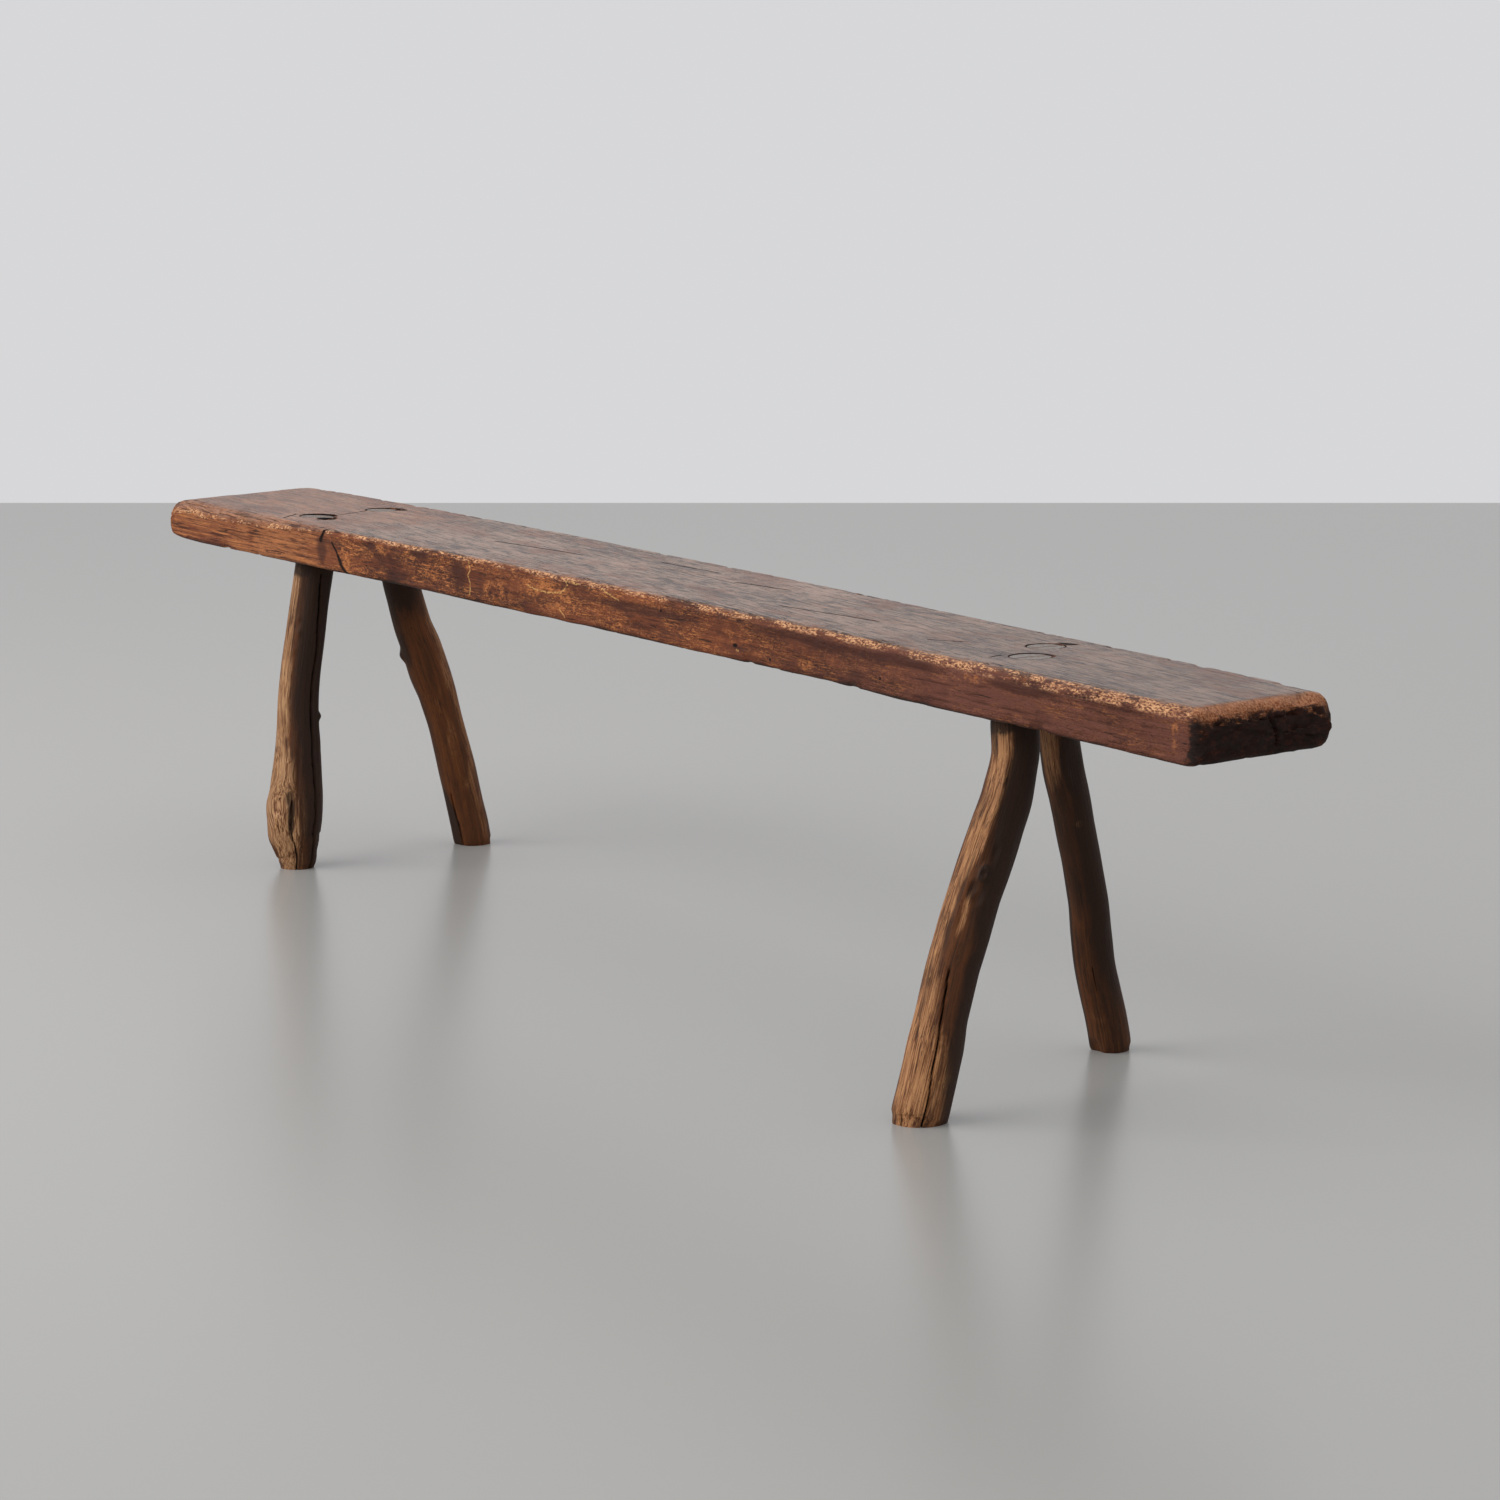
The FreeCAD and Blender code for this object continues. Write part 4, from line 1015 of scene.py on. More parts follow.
def shape_branch(leg, piece, line, halves):
    """Flatten the branch's section to an oval, then add its knots, burl and checks."""
    mesh = piece.data
    points = read_points(mesh)
    # Centre of the ring that a point belongs to, from the run along the line
    run = read_number(mesh, "branch_run")
    line_run = np.concatenate([[0], np.cumsum(np.linalg.norm(np.diff(line, axis=0), axis=1))])
    centre = np.stack([np.interp(run, line_run, line[:, axis]) for axis in range(3)], 1)
    height_mm = centre[:, 2] / MM
    off = points - centre
    narrow = -math.sin(OVAL_TURN) * leg.side + math.cos(OVAL_TURN) * leg.cross
    part = centre[:, 2] / leg.neck_height
    oval = np.interp(part, [0, 0.9, 1.0, 1.0001, 2], [OVAL_SHARE, OVAL_SHARE, NECK_OVAL_SHARE, 1, 1])
    off = off - np.outer((1 - oval) * (off @ narrow), narrow)
    turned = np.arctan2(off @ leg.cross, off @ leg.side)
    half = np.interp(run, line_run, halves)
    limb = read_number(mesh, "limb")
    out = off / np.maximum(np.linalg.norm(off, axis=1), 1e-9)[:, None]
    nothing = np.zeros(len(points))
    lift, knot, crack = nothing, nothing, nothing

    def gap_from(around):
        return (np.degrees(turned) - around + 180) % 360 - 180

    def distance_from(height, around, reach_along, reach_round):
        """Distance from a place on the bark, in its own reach."""
        return np.hypot((height_mm - height) / reach_along, gap_from(around) / reach_round)

    def strongest(rows, full):
        shares = [between(1.35, full, distance_from(*place)) * strength for *place, strength in rows]
        return np.maximum(np.max(shares, axis=0), 0)

    for height, around, reach_along, reach_round, rise in BRANCH_LUMPS[leg.name]:
        distance = distance_from(height, around, reach_along, np.degrees(reach_round * MM / half))
        lift = lift + between(1.0, 0.0, distance) * rise * MM
        knot = np.maximum(knot, between(0.8, 0.2, distance) * (rise > KNOT_RISE))
    for height, around, reach_along, reach_round, depth in BRANCH_HOLLOWS[leg.name]:
        distance = distance_from(height, around, reach_along, np.degrees(reach_round * MM / half))
        lift = lift - between(1.0, 0.15, distance) * depth * MM
    # Slow lumps, so that no branch is evenly round
    lift = lift + limb * rough_waves(points / (0.03, 0.03, 0.07), 51 + leg.seed, 2) * SLOW_LUMPS
    for width, depth, course in BRANCH_CHECKS[leg.name]:
        course = np.array(sorted(course), float)
        low, high = course[0, 0], course[-1, 0]
        wobble = waves(np.outer(height_mm / 24, (1, 0, 0)) + (0, 0, low), 61) * 2.2
        around = np.interp(height_mm, course[:, 0], course[:, 1] + 360 * (course[:, 1] < 180)) + wobble
        narrowing = between(high, high - 30, height_mm) * between(low, low + 20, height_mm)
        across = np.abs(np.radians(gap_from(around)) * half) / (width * MM) / np.maximum(narrowing, 0.05)
        lift = lift - between(1.5, 0.1, across) * (narrowing > 0.02) * depth * MM
        crack = np.maximum(crack, np.clip(1 - across / 2.6, 0, 1) * (narrowing > 0.02))
    points = centre + off + out * (lift * limb)[:, None]
    write_points(mesh, points)
    # The rubbed places hold wear and painted light on the side towards the lamp; the dark places hold
    # weathering and painted shade on the side away from it and under the plank
    for name, values in (
        ("knot", knot), ("crack", crack * limb), ("rubbed", strongest(RUBBED_AND_LIT_PLACES[leg.name], 0.45)),
        ("shaded", strongest(DARK_AND_SHADED_PLACES[leg.name], 0.5)),
    ):
        keep_number(mesh, name, values)
    # The fibres run along the branch, and swirl round the burl's lumps
    fibres = np.stack([np.cos(turned) * half, np.sin(turned) * half, run], 1)
    swirl = between(*BURL_HEIGHTS, height_mm) * (leg.name == "front_left")
    for axis, reach in enumerate(SWIRL_REACH):
        drift = rough_waves(points * (1, 1, 0.7) / 0.03, 81 + axis, 2)
        fibres[:, axis] = fibres[:, axis] + drift * swirl * reach
    place = mesh.attributes.new("fibre_place", "FLOAT_VECTOR", "POINT")
    place.data.foreach_set("vector", fibres.astype(np.float32).ravel())


def saw(piece, place, normal, keep_below):
    """Saw a closed piece through a plane, and mark the sawn face."""
    mesh = piece.data
    if "sawn" not in mesh.attributes:
        mesh.attributes.new("sawn", "FLOAT", "FACE")
    work = bmesh.new()
    work.from_mesh(mesh)
    sawn = work.faces.layers.float["sawn"]
    cut = bmesh.ops.bisect_plane(
        work, geom=[*work.verts, *work.edges, *work.faces], dist=1e-7, plane_co=place, plane_no=normal,
        clear_outer=keep_below, clear_inner=not keep_below)
    rim = [item for item in cut["geom_cut"] if isinstance(item, bmesh.types.BMEdge)]
    for face in bmesh.ops.contextual_create(work, geom=rim)["faces"]:
        face[sawn] = 1.0
    put_back(work, mesh)


# Woods


class Wood(Sheet):
    """A material's node sheet, with what a wood is painted from."""

    def __init__(self, name):
        self.material = bpy.data.materials.new(name)
        self.material.use_nodes = True
        super().__init__(self.material.node_tree)
        self.tree.nodes.clear()
        self.shader = self.add("ShaderNodeBsdfPrincipled")
        self.add("ShaderNodeOutputMaterial", {"Surface": self.shader.outputs["BSDF"]})
        self.place = self.give("ShaderNodeTexCoord", "Object")

    def vector(self, operation, first, second, output="Vector"):
        return self.give("ShaderNodeVectorMath", output, {0: first, 1: second}, operation=operation)

    def number(self, name, output="Fac"):
        return self.give("ShaderNodeAttribute", output, attribute_name=name)

    def axis(self, vector, letter):
        return self.give("ShaderNodeSeparateXYZ", letter, {0: vector})

    def noise(self, name, vector=None):
        """A noise from the table, over the piece or over another vector."""
        stretch, detail, roughness, bent, start = NOISES[name]
        placed = self.vector("MULTIPLY", vector or self.place, stretch)
        placed = self.vector("ADD", placed, start)
        return self.give("ShaderNodeTexNoise", 0, {
            "Vector": placed, "Scale": 1.0, "Detail": detail, "Roughness": roughness, "Distortion": bent})

    def mix(self, share, first, second):
        return self.give("ShaderNodeMix", 2, {0: share, 6: first, 7: second}, data_type="RGBA")

    def blend(self, share, first, second):
        return self.give("ShaderNodeMix", 0, {0: share, 2: first, 3: second}, data_type="FLOAT")

    def stroke(self, place, start, end, width):
        """1 on a short straight stroke and 0 off it."""
        run = Vector(end) - Vector(start)
        off = self.vector("SUBTRACT", place, start)
        share = self.vector("DOT_PRODUCT", off, tuple(run), "Value")
        share = self.math("DIVIDE", share, run.length_squared, clamp=True)
        nearest = self.give("ShaderNodeVectorMath", "Vector", {0: run, "Scale": share}, operation="SCALE")
        return self.vector("DISTANCE", off, nearest, "Value").step(width, width * 0.35)

    def strokes(self, place, lines, width):
        pairs = [pair for line in lines for pair in zip(line[:-1], line[1:])]
        return reduce(or_, (self.stroke(place, *pair, width) for pair in pairs))

    def spot(self, place, middle, reach, soft):
        """1 inside an oval spot, fading to 0 at its edge."""
        off = self.vector("DIVIDE", self.vector("SUBTRACT", place, middle), reach)
        return self.vector("LENGTH", off, (0, 0, 0), "Value").step(1.0, soft)

    def spots(self, place, rows, soft):
        return reduce(or_, (self.spot(place, *row, soft) for row in rows))

    def shade(self, skin, rough, height, relief=0.0014, shine=0.16):
        """Give the material its colour, its roughness and its relief."""
        bump = self.give("ShaderNodeBump", "Normal", {"Strength": 1.0, "Distance": relief, "Height": height})
        self.feed_all(self.shader, {
            "Base Color": skin, "Roughness": rough, "Normal": bump, "Specular IOR Level": shine})
        return self.material


# The woods' noises. Columns: stretch, detail, roughness, how far it is bent, and where it starts
NOISES = {
    "fibre": ((11, 400, 400), 5, 0.7, 0.25, (0, 0, 0)),
    "band": ((2.6, 60, 60), 4, 0.62, 0.6, (0, 0, 0)),
    "blotch": ((7, 16, 16), 5, 0.62, 0.3, (0, 0, 0)),
    "mottle": ((48, 80, 80), 4, 0.6, 0.0, (0, 0, 0)),
    "fine": ((230, 560, 560), 4, 0.72, 0.0, (0, 0, 0)),
    "fleck": ((64, 600, 600), 3, 0.68, 0.3, (3, 1, 5)),
    "scrawl": ((95, 170, 170), 3, 0.62, 1.4, (6, 2, 2)),
    "crowd": ((11, 34, 34), 3, 0.6, 0.0, (7, 7, 1)),
    "grime": ((5, 14, 14), 5, 0.65, 0.4, (2, 5, 3)),
    "streak": ((9, 340, 340), 5, 0.72, 0.3, (1, 2, 9)),
    "grain": ((20, 360, 360), 5, 0.75, 0.6, (4, 4, 4)),
    "reddish": ((9, 26, 26), 4, 0.6, 0.3, (3, 9, 4)),
    "red": ((60, 160, 160), 2, 0.5, 0.0, (9, 1, 2)),
    "wear": ((34, 150, 150), 4, 0.68, 0.2, (5, 8, 2)),
    "end_tone": ((60, 90, 160), 5, 0.7, 0.0, (0, 0, 0)),
    "lines": ((6, 210, 210), 4, 0.7, 0.5, (8, 3, 6)),
    "coarse": ((150, 220, 260), 4, 0.7, 0.0, (0, 0, 0)),
    "limb_fine": ((620, 620, 24), 5, 0.68, 0.4, (0, 0, 0)),
    "limb_streak": ((210, 210, 8), 4, 0.62, 0.6, (2, 7, 1)),
    "limb_blotch": ((60, 60, 20), 4, 0.62, 0.4, (5, 1, 4)),
    "speck": ((420, 420, 120), 3, 0.6, 0.0, (1, 1, 8)),
    "ring": ((90, 90, 160), 4, 0.6, 1.0, (0, 0, 0)),
    "ends": ((330, 330, 330), 4, 0.65, 0.0, (0, 0, 0)),
    "slip_end": ((420, 420, 60), 4, 0.65, 0.0, (0, 0, 0)),
    "slip_side": ((160, 160, 40), 3, 0.5, 0.0, (0, 0, 0)),
    "sway": ((70, 70, 70), 3, 0.6, 0.0, (0, 0, 0)),
}
# Marks on the front face, as (x, z)
FRONT_SCRATCHES = [
    [(-0.276, 0.444), (-0.270, 0.436), (-0.275, 0.427), (-0.269, 0.418), (-0.271, 0.405)],
    [(-0.133, 0.431), (-0.112, 0.428), (-0.088, 0.427), (-0.066, 0.429), (-0.050, 0.434),
     (-0.043, 0.440), (-0.049, 0.444), (-0.040, 0.445), (-0.020, 0.443)],
    [(0.030, 0.443), (0.048, 0.440), (0.069, 0.435)], [(-0.060, 0.410), (-0.048, 0.402)],
]
FRONT_CRACK = [[(-0.613, 0.434), (-0.602, 0.424), (-0.590, 0.409), (-0.573, 0.396)]]
FRONT_CRACK_FOOT = [[(-0.597, 0.418), (-0.590, 0.409), (-0.575, 0.396)]]
# Nail and worm holes in the front face, as (x, z) with their reach
FRONT_HOLES = [
    (0.602, 0.413, 0.0022, 0.0022), (0.385, 0.406, 0.0022, 0.0022), (0.159, 0.433, 0.0022, 0.0022),
    (0.314, 0.413, 0.0060, 0.0026),
]
YELLOW_FLECK = (0.319, 0.408, 0.004, 0.002)
# Marks on the top, as (x, y): thin cracks, and wider gaps beside the tenons painted black as shade
TOP_CRACKS = [
    [(0.100, 0.046), (0.194, 0.060)], [(0.606, -0.034), (0.640, -0.012)],
    [(0.746, -0.056), (0.739, -0.038)], [(-0.768, -0.096), (-0.802, -0.062), (-0.792, -0.050)],
    [(-0.762, -0.022), (-0.790, 0.034)], [(-0.40, 0.01), (-0.22, 0.03)], [(0.30, -0.02), (0.46, 0.0)],
    [(-0.10, 0.07), (0.02, 0.075)],
]
TOP_GAP_SHADES = [
    [(0.704, 0.063), (0.716, 0.068)], [(-0.751, -0.036), (-0.730, -0.047)],
    [(-0.750, -0.050), (-0.730, -0.060)], [(-0.786, 0.078), (-0.768, 0.074)],
]
# Painted shade in the gaps at some corners of the tenons' ends, as (x, y) with their reach
TENON_GAP_SHADES = [(-0.745, -0.049, 0.015, 0.020), (-0.776, 0.076, 0.012, 0.008), (0.702, 0.062, 0.010, 0.008)]


def on_top(x, y):
    """A place on the flattened top."""
    return (x, y, 0)


def on_front(x, z):
    """A place on the flattened front face."""
    return (x, -0.10, z)


def lines_on(face, lines):
    return [[face(*point) for point in line] for line in lines]


def spots_on(face, rows, across):
    """Spots with their reach, of which one reaches right through the face."""
    return [(face(a, b), (reach, 1, up) if across == "Y" else (reach, up, 1)) for a, b, reach, up in rows]


def plank_wood(colours, plank, mortises):
    """The plank's wood: faces, top with a painted sheen, rubbed edges, black ends, grime, painted shade round
    the tenons and its own marks.
    """
    wood = Wood("hewn plank")
    place = wood.place
    upward, arris, end, below = [wood.number(name) for name in ("upward", "arris", "end", "below")]
    far_stretch, near_stretch = wood.number("far_stretch"), wood.number("near_stretch")
    x, y, z = [wood.axis(place, letter) for letter in "XYZ"]
    flat = wood.vector("MULTIPLY", place, (1, 0, 1))
    front_place = wood.vector("ADD", flat, on_front(0, 0))
    top_place = wood.vector("MULTIPLY", place, (1, 1, 0))
    front = y.step(0.0, -0.05)

    fibre, band, blotch, mottle, fine, fleck, scrawl, crowd, grime = [
        wood.noise(name) for name in (
            "fibre", "band", "blotch", "mottle", "fine", "fleck", "scrawl", "crowd", "grime")]

    # Faces: deep red-brown, warmer in bands, ruled with dark fibres
    tone = blotch * 0.36 + band * 0.24 + fibre * 0.24 + mottle * 0.16
    face = wood.mix(tone.step(0.41, 0.58), colours.face_dark, colours.face_warm)
    face = face.paint(colours.face_near, near_stretch * tone.step(0.40, 0.56))
    face = face.paint(colours.face_dark, fibre.step(0.47, 0.36) * 0.60)
    # Orange flecks along the fibres and fine scratches across them, thick around the middle
    crowded = crowd.step(0.38, 0.60) * wood.number("lively")
    face = face.paint(colours.face_fleck, fleck.step(0.54, 0.63) * crowded * 0.95)
    line = wood.math("ABSOLUTE", scrawl - 0.5)
    face = face.paint(colours.face_fleck, line.step(0.024, 0.008) * crowded * fine.step(0.38, 0.52) * 0.85)
    face = face.paint(colours.face_dark, fine.step(0.45, 0.33) * 0.85)
    # The far stretch is lighter and ruled with thin dark lines up to the notch
    streak = wood.noise("streak")
    tan = wood.mix(blotch.step(0.38, 0.60), colours.face_warm, colours.face_far)
    tan = tan.paint(colours.face_fleck, streak.step(0.53, 0.63) * 0.75)
    tan = tan.paint(colours.face_dark, streak.step(0.50, 0.40) * 0.95)
    tan = tan.paint(colours.face_dark, fine.step(0.45, 0.33) * 0.6)
    face = face.paint(tan, far_stretch * 0.9)
    # Named patches of the front face
    broken = mottle.step(0.44, 0.60) * fine.step(0.40, 0.57)
    face = face.paint(colours.face_fleck, wood.number("warm_patch") * broken * 0.66)
    face = face.paint(colours.face_dark, wood.number("dark_patch") * 0.8)

    # Top: worn grey-brown lightened by a painted sheen, with fine grain that runs a little across, redder in
    # places
    slanted = wood.vector("ADD", place, wood.give("ShaderNodeCombineXYZ", "Vector", {"Y": x * 0.07}))
    grain = wood.noise("grain", slanted)
    top_tone = grain * 0.66 + blotch * 0.19 + mottle * 0.15
    top = wood.mix(top_tone.step(0.43, 0.56), colours.top_dark, colours.top_worn_and_sheen)
    reddish = wood.noise("reddish")
    top = top.paint(colours.face_warm, reddish.step(0.50, 0.64) * 0.5)
    top = top.paint(tan, far_stretch * 0.5)
    top = top.paint(colours.top_dark, near_stretch * 0.34)
    top = top.paint(colours.end_dark, grain.step(0.45, 0.35) * 0.8)
    red = wood.noise("red")
    top = top.paint(colours.face_dark, red.step(0.64, 0.72) * 0.6)

    # Left of the notch the top's colour, with its painted sheen, reaches further down the rounded edge
    over = upward + far_stretch * 0.42
    skin = wood.mix(over.step(0.40, 0.90), face, top)
    # Rubbed edges: broken thin lines in the far half, a wider mottled band towards the near end
    wear = wood.noise("wear")
    rub = wear * 0.50 + crowd * 0.22 + fine * 0.28 + wood.number("bright_edge") * 0.055 + (arris - 1.0) * 0.14
    broad = x.step(0.55, 1.0)
    near = x.step(0.9, 1.0)
    rounded = (over - broad * 0.18).step(0.86, 0.60) * (over + broad * 0.12).step(0.14, 0.38)
    rub = rub.step(0.485, 0.560) * (arris.step(0.05, 0.6) * (rounded | end * near))
    shadow = wood.mix(0.6, colours.face_warm, colours.face_dark)
    worn = wood.mix(fine.step(0.42, 0.54), shadow, colours.arris)
    worn = worn.paint(colours.spark, fine.step(0.48, 0.57) * wear.step(0.42, 0.54))
    skin = skin.paint(worn, rub * 0.92)

    # Ends: blackened, with a rusty pitted rim
    end_tone = wood.noise("end_tone")
    end_skin = wood.mix(end_tone.step(0.42, 0.75), colours.end_dark, colours.face_dark)
    end_edge = end + (mottle - 0.5) * 1.3 - upward * 0.34
    skin = skin.paint(end_skin, end_edge.step(0.20, 0.44) * near | end.step(0.93, 1.0) * 0.7)
    ragged = end + (end_tone - 0.5) * 0.9
    rim = ragged.step(0.98, 0.80) * end.step(0.10, 0.45) * near * upward.step(0.2, 0.7)
    rusty = wood.mix((fine + end * -0.12).step(0.32, 0.50), colours.face_warm, colours.arris)
    skin = skin.paint(rusty, rim * 0.92)
    skin = skin.paint(colours.face_fleck, end_tone.step(0.60, 0.72) * end.step(1.0, 0.7) * end * 0.8)

    # Darker towards the lower edge, grime in blotches, and black in every crack
    low = z.step(0.408, 0.392) + (grime - 0.5) * 1.6
    skin = skin.paint(colours.black_and_shade, low.step(0.55, 1.0) * (1.0 - upward) * 0.9)
    skin = skin.paint(colours.end_dark, grime.step(0.60, 0.74) * 0.40)
    lines = wood.noise("lines", slanted)
    hair = lines.step(0.38, 0.31) * 0.8
    skin = skin.paint(colours.black_and_shade, hair)

    # Marks whose lines waver a little: cracks, scratches, holes, the notch, and painted shade in the gaps
    # round the tenons at the mortises' rims
    sway = (wood.noise("sway") - 0.5) * 0.009
    moved = wood.give("ShaderNodeCombineXYZ", "Vector", {"X": sway, "Z": sway * -0.6})
    bent = wood.vector("ADD", front_place, moved)
    crack = wood.strokes(bent, lines_on(on_front, FRONT_CRACK), 0.0026)
    crack = crack | wood.strokes(bent, lines_on(on_front, FRONT_CRACK_FOOT), 0.0046)
    scratch = wood.strokes(bent, lines_on(on_front, FRONT_SCRATCHES), 0.0015) * fine.step(0.42, 0.52) * front
    bent = wood.vector("ADD", top_place, wood.vector("MULTIPLY", moved, (1, 0.5, 0)))
    cracks_and_gap_shade = wood.strokes(bent, lines_on(on_top, TOP_CRACKS), 0.0024)
    # Wider strokes: painted shade in the gaps beside the tenons
    cracks_and_gap_shade = cracks_and_gap_shade | wood.strokes(bent, lines_on(on_top, TOP_GAP_SHADES), 0.0090)
    cracks_and_gap_shade = cracks_and_gap_shade * upward.step(0.5, 0.95)
    holes = wood.spots(front_place, spots_on(on_front, FRONT_HOLES, "Y"), 0.6) * front
    notch = plank.notch_inset - plank.far_reach
    cut = lines_on(on_front, [[(notch + 0.002, 0.445), (notch - 0.004, 0.435)]])
    in_notch = wood.strokes(front_place, cut, 0.0055) * y.step(-0.094, -0.099)
    # Painted shade: black rings round the tenons, in the gaps at the mortises' rims
    rims = wood.spots(top_place, spots_on(on_top, mortises, "Z"), 0.93) * z.step(0.380, 0.400)
    black = crack * front | cracks_and_gap_shade | holes | in_notch | rims
    skin = skin.paint(colours.black_and_shade, black * 0.97)
    skin = skin.paint(colours.scratch, scratch * 0.8)
    yellow = wood.spots(front_place, spots_on(on_front, [YELLOW_FLECK], "Y"), 0.5)
    skin = skin.paint(colours.scratch, yellow * front * fine.step(0.4, 0.55) * 0.9)

    rough = wood.blend(upward.step(0.4, 1.0), wood.blend(mottle, 0.50, 0.74), wood.blend(grain, 0.10, 0.52))
    rough = wood.blend(black, wood.blend(end, rough, 0.86), 0.95)
    # Relief: fibres, worm pits, dark lines and the coarse grain of ends and edges
    cells = wood.vector("MULTIPLY", place, (260, 260, 420))
    pit = wood.give("ShaderNodeTexVoronoi", "Distance", {"Vector": cells, "Scale": 1.0}, feature="F1")
    coarse = wood.noise("coarse")
    height = fibre * 0.6 + grain * 0.45 + mottle * 0.4
    height = height - pit.step(0.35, 0.1) * crowd.step(0.5, 0.7) * 0.5 - hair * 0.5
    return wood.shade(skin, rough, height + coarse * (end | arris * 0.6 | below) * 1.2)


def branch_wood(name, colours, warmth, golden, olive):
    """A branch's wood: rubbed golden and painted lit in places, dark and painted shaded in others, streaked
    along its fibres.
    """
    wood = Wood(name)
    fibres = wood.number("fibre_place", "Vector")
    rubbed, shaded, crack, knot, sawn = [
        wood.number(name) for name in ("rubbed", "shaded", "crack", "knot", "sawn")]
    fine, streak, blotch, speck = [
        wood.noise(name, fibres) for name in ("limb_fine", "limb_streak", "limb_blotch", "speck")]
    uneven = (blotch * 0.60 + streak * 0.40 - 0.5) * 2.6

    brown = wood.mix(warmth, colours.limb_dark, colours.limb_brown)
    tint = (streak * 0.6 + blotch * 0.4).step(0.38, 0.62)
    skin = wood.mix(tint, brown.paint(colours.limb_dark, 0.5), brown.paint(colours.limb_brown, 0.6))
    # Golden where rubbed, and painted light on the side towards the lamp
    tone = (rubbed + uneven).step(0.28, 0.90) * rubbed.step(0.02, 0.25)
    pale = wood.mix(olive, colours.limb_rubbed_and_lit, colours.limb_golden)
    skin = skin.paint(wood.mix(fine.step(0.38, 0.60), colours.limb_brown, pale), tone * golden)
    # Dark where weathered, and painted shade on the side away from the lamp and under the plank
    dark_and_shade_share = (shaded + uneven).step(0.15, 0.80) * shaded.step(0.02, 0.25)
    skin = skin.paint(colours.limb_dark, dark_and_shade_share * 0.86)
    skin = skin.paint(colours.limb_dark, fine.step(0.44, 0.33) * 0.75)
    bright = speck.step(0.60, 0.70) * rubbed.step(0.3, 0.9) * fine.step(0.45, 0.55)
    skin = skin.paint(colours.scratch, bright * golden * 0.8)
    skin = skin.paint(colours.limb_dark, speck.step(0.40, 0.32) * 0.5)
    ring = wood.noise("ring", fibres)
    skin = skin.paint(colours.limb_dark, knot * ring.step(0.46, 0.56) * 0.5)
    rim = knot.step(0.12, 0.35) * knot.step(0.85, 0.55)
    skin = skin.paint(colours.limb_dark, rim * blotch.step(0.34, 0.52) * 0.85)
    skin = skin.paint(colours.black_and_shade, crack.step(0.58, 0.76) * 0.95)

    # Sawn ends: dry grey end grain, darker at the soles, with painted shade in the gaps at some tenons'
    # corners
    z = wood.axis(wood.place, "Z")
    ends = wood.noise("ends")
    grey = wood.mix(ends.step(0.30, 0.52), colours.limb_brown, colours.tenon_end)
    grey = grey.paint(colours.limb_dark, z.step(0.30, 0.20) * 0.75)
    top_place = wood.vector("MULTIPLY", wood.place, (1, 1, 0))
    # Painted shade in the gaps beside the tenons, near the seat
    tenon_gap_shade = wood.spots(top_place, spots_on(on_top, TENON_GAP_SHADES, "Z"), 0.7)
    black = tenon_gap_shade * z.step(0.42, 0.43) * 0.96
    skin = skin.paint(grey, sawn).paint(colours.black_and_shade, black)
    rough = wood.blend(crack, wood.blend(streak, 0.44, 0.72), 0.95)
    rough = wood.blend(sawn, rough, wood.blend(black, 0.34, 0.95))
    return wood.shade(skin, rough, fine * 0.7 + streak * 0.5 + speck * 0.15)


def wedge_wood(colours):
    """Dry end grain of a split slip."""
    wood = Wood("split slip")
    end = wood.noise("slip_end")
    side = wood.noise("slip_side")
    tone = wood.mix(end.step(0.35, 0.65), colours.limb_brown, colours.tenon_end)
    tone = tone.paint(colours.limb_dark, side.step(0.55, 0.7) * 0.6)
    return wood.shade(tone, wood.blend(end, 0.55, 0.85), end, 0.0012, 0.5)


# Operators


def all_legs(scene):
    bench = scene.bench
    return [Leg(name, getattr(bench, "leg_" + name), bench.plank, bench.joints) for name in LEG_NAMES]


class BENCH_OT_plank(bpy.types.Operator):
    """Make the hewn seat plank with its mortises and saw notch"""
    bl_idname = "bench.plank"
    bl_label = "Seat plank"

    def execute(self, context):
        bench = context.scene.bench
        legs = all_legs(context.scene)
        piece = plank_mesh(bench.plank)
        hew_plank(bench.plank, piece.data)
        mark_plank(piece.data)
        carve(piece, [mortise_cutter(leg, bench.joints) for leg in legs] + [notch_cutter(bench.plank)])
        # Rings of painted shade round the tenons' ends, for the plank's wood
        reaches = [leg.settings.tip / 2 + MORTISE_SHADOW for leg in legs]
        mortises = [(leg.along, leg.settings.across, reach, reach) for leg, reach in zip(legs, reaches)]
        finish_piece(piece, "seat_plank", plank_wood(bench.colours, bench.plank, mortises), 50)
        return {"FINISHED"}


class BENCH_OT_legs(bpy.types.Operator):
    """Make the four branch legs with their tenons"""
    bl_idname = "bench.legs"
    bl_label = "Branch legs"

    def execute(self, context):
        bench = context.scene.bench
        tree = branch_tree()
        for leg in all_legs(context.scene):
            roughness, *looks = BRANCH_LOOKS[leg.name]
            material = branch_wood(leg.name.replace("_", " ") + " branch", bench.colours, *looks)
            line, halves, limb = branch_line(leg, bench.joints, bench.branch)
            piece = grow_branch(leg, line, halves, limb, bench.branch, tree, material, roughness)
            shape_branch(leg, piece, line, halves)
            saw(piece, (0, 0, 0), (0, 0, 1), False)
            saw(piece, leg.at(leg.seat) - (0, 0, leg.settings.sink), leg.saw_normal, True)
            carve(piece, [kerf_cutter(leg, bench.joints)])
            finish_piece(piece, "leg_" + leg.name, material, 45)
        return {"FINISHED"}


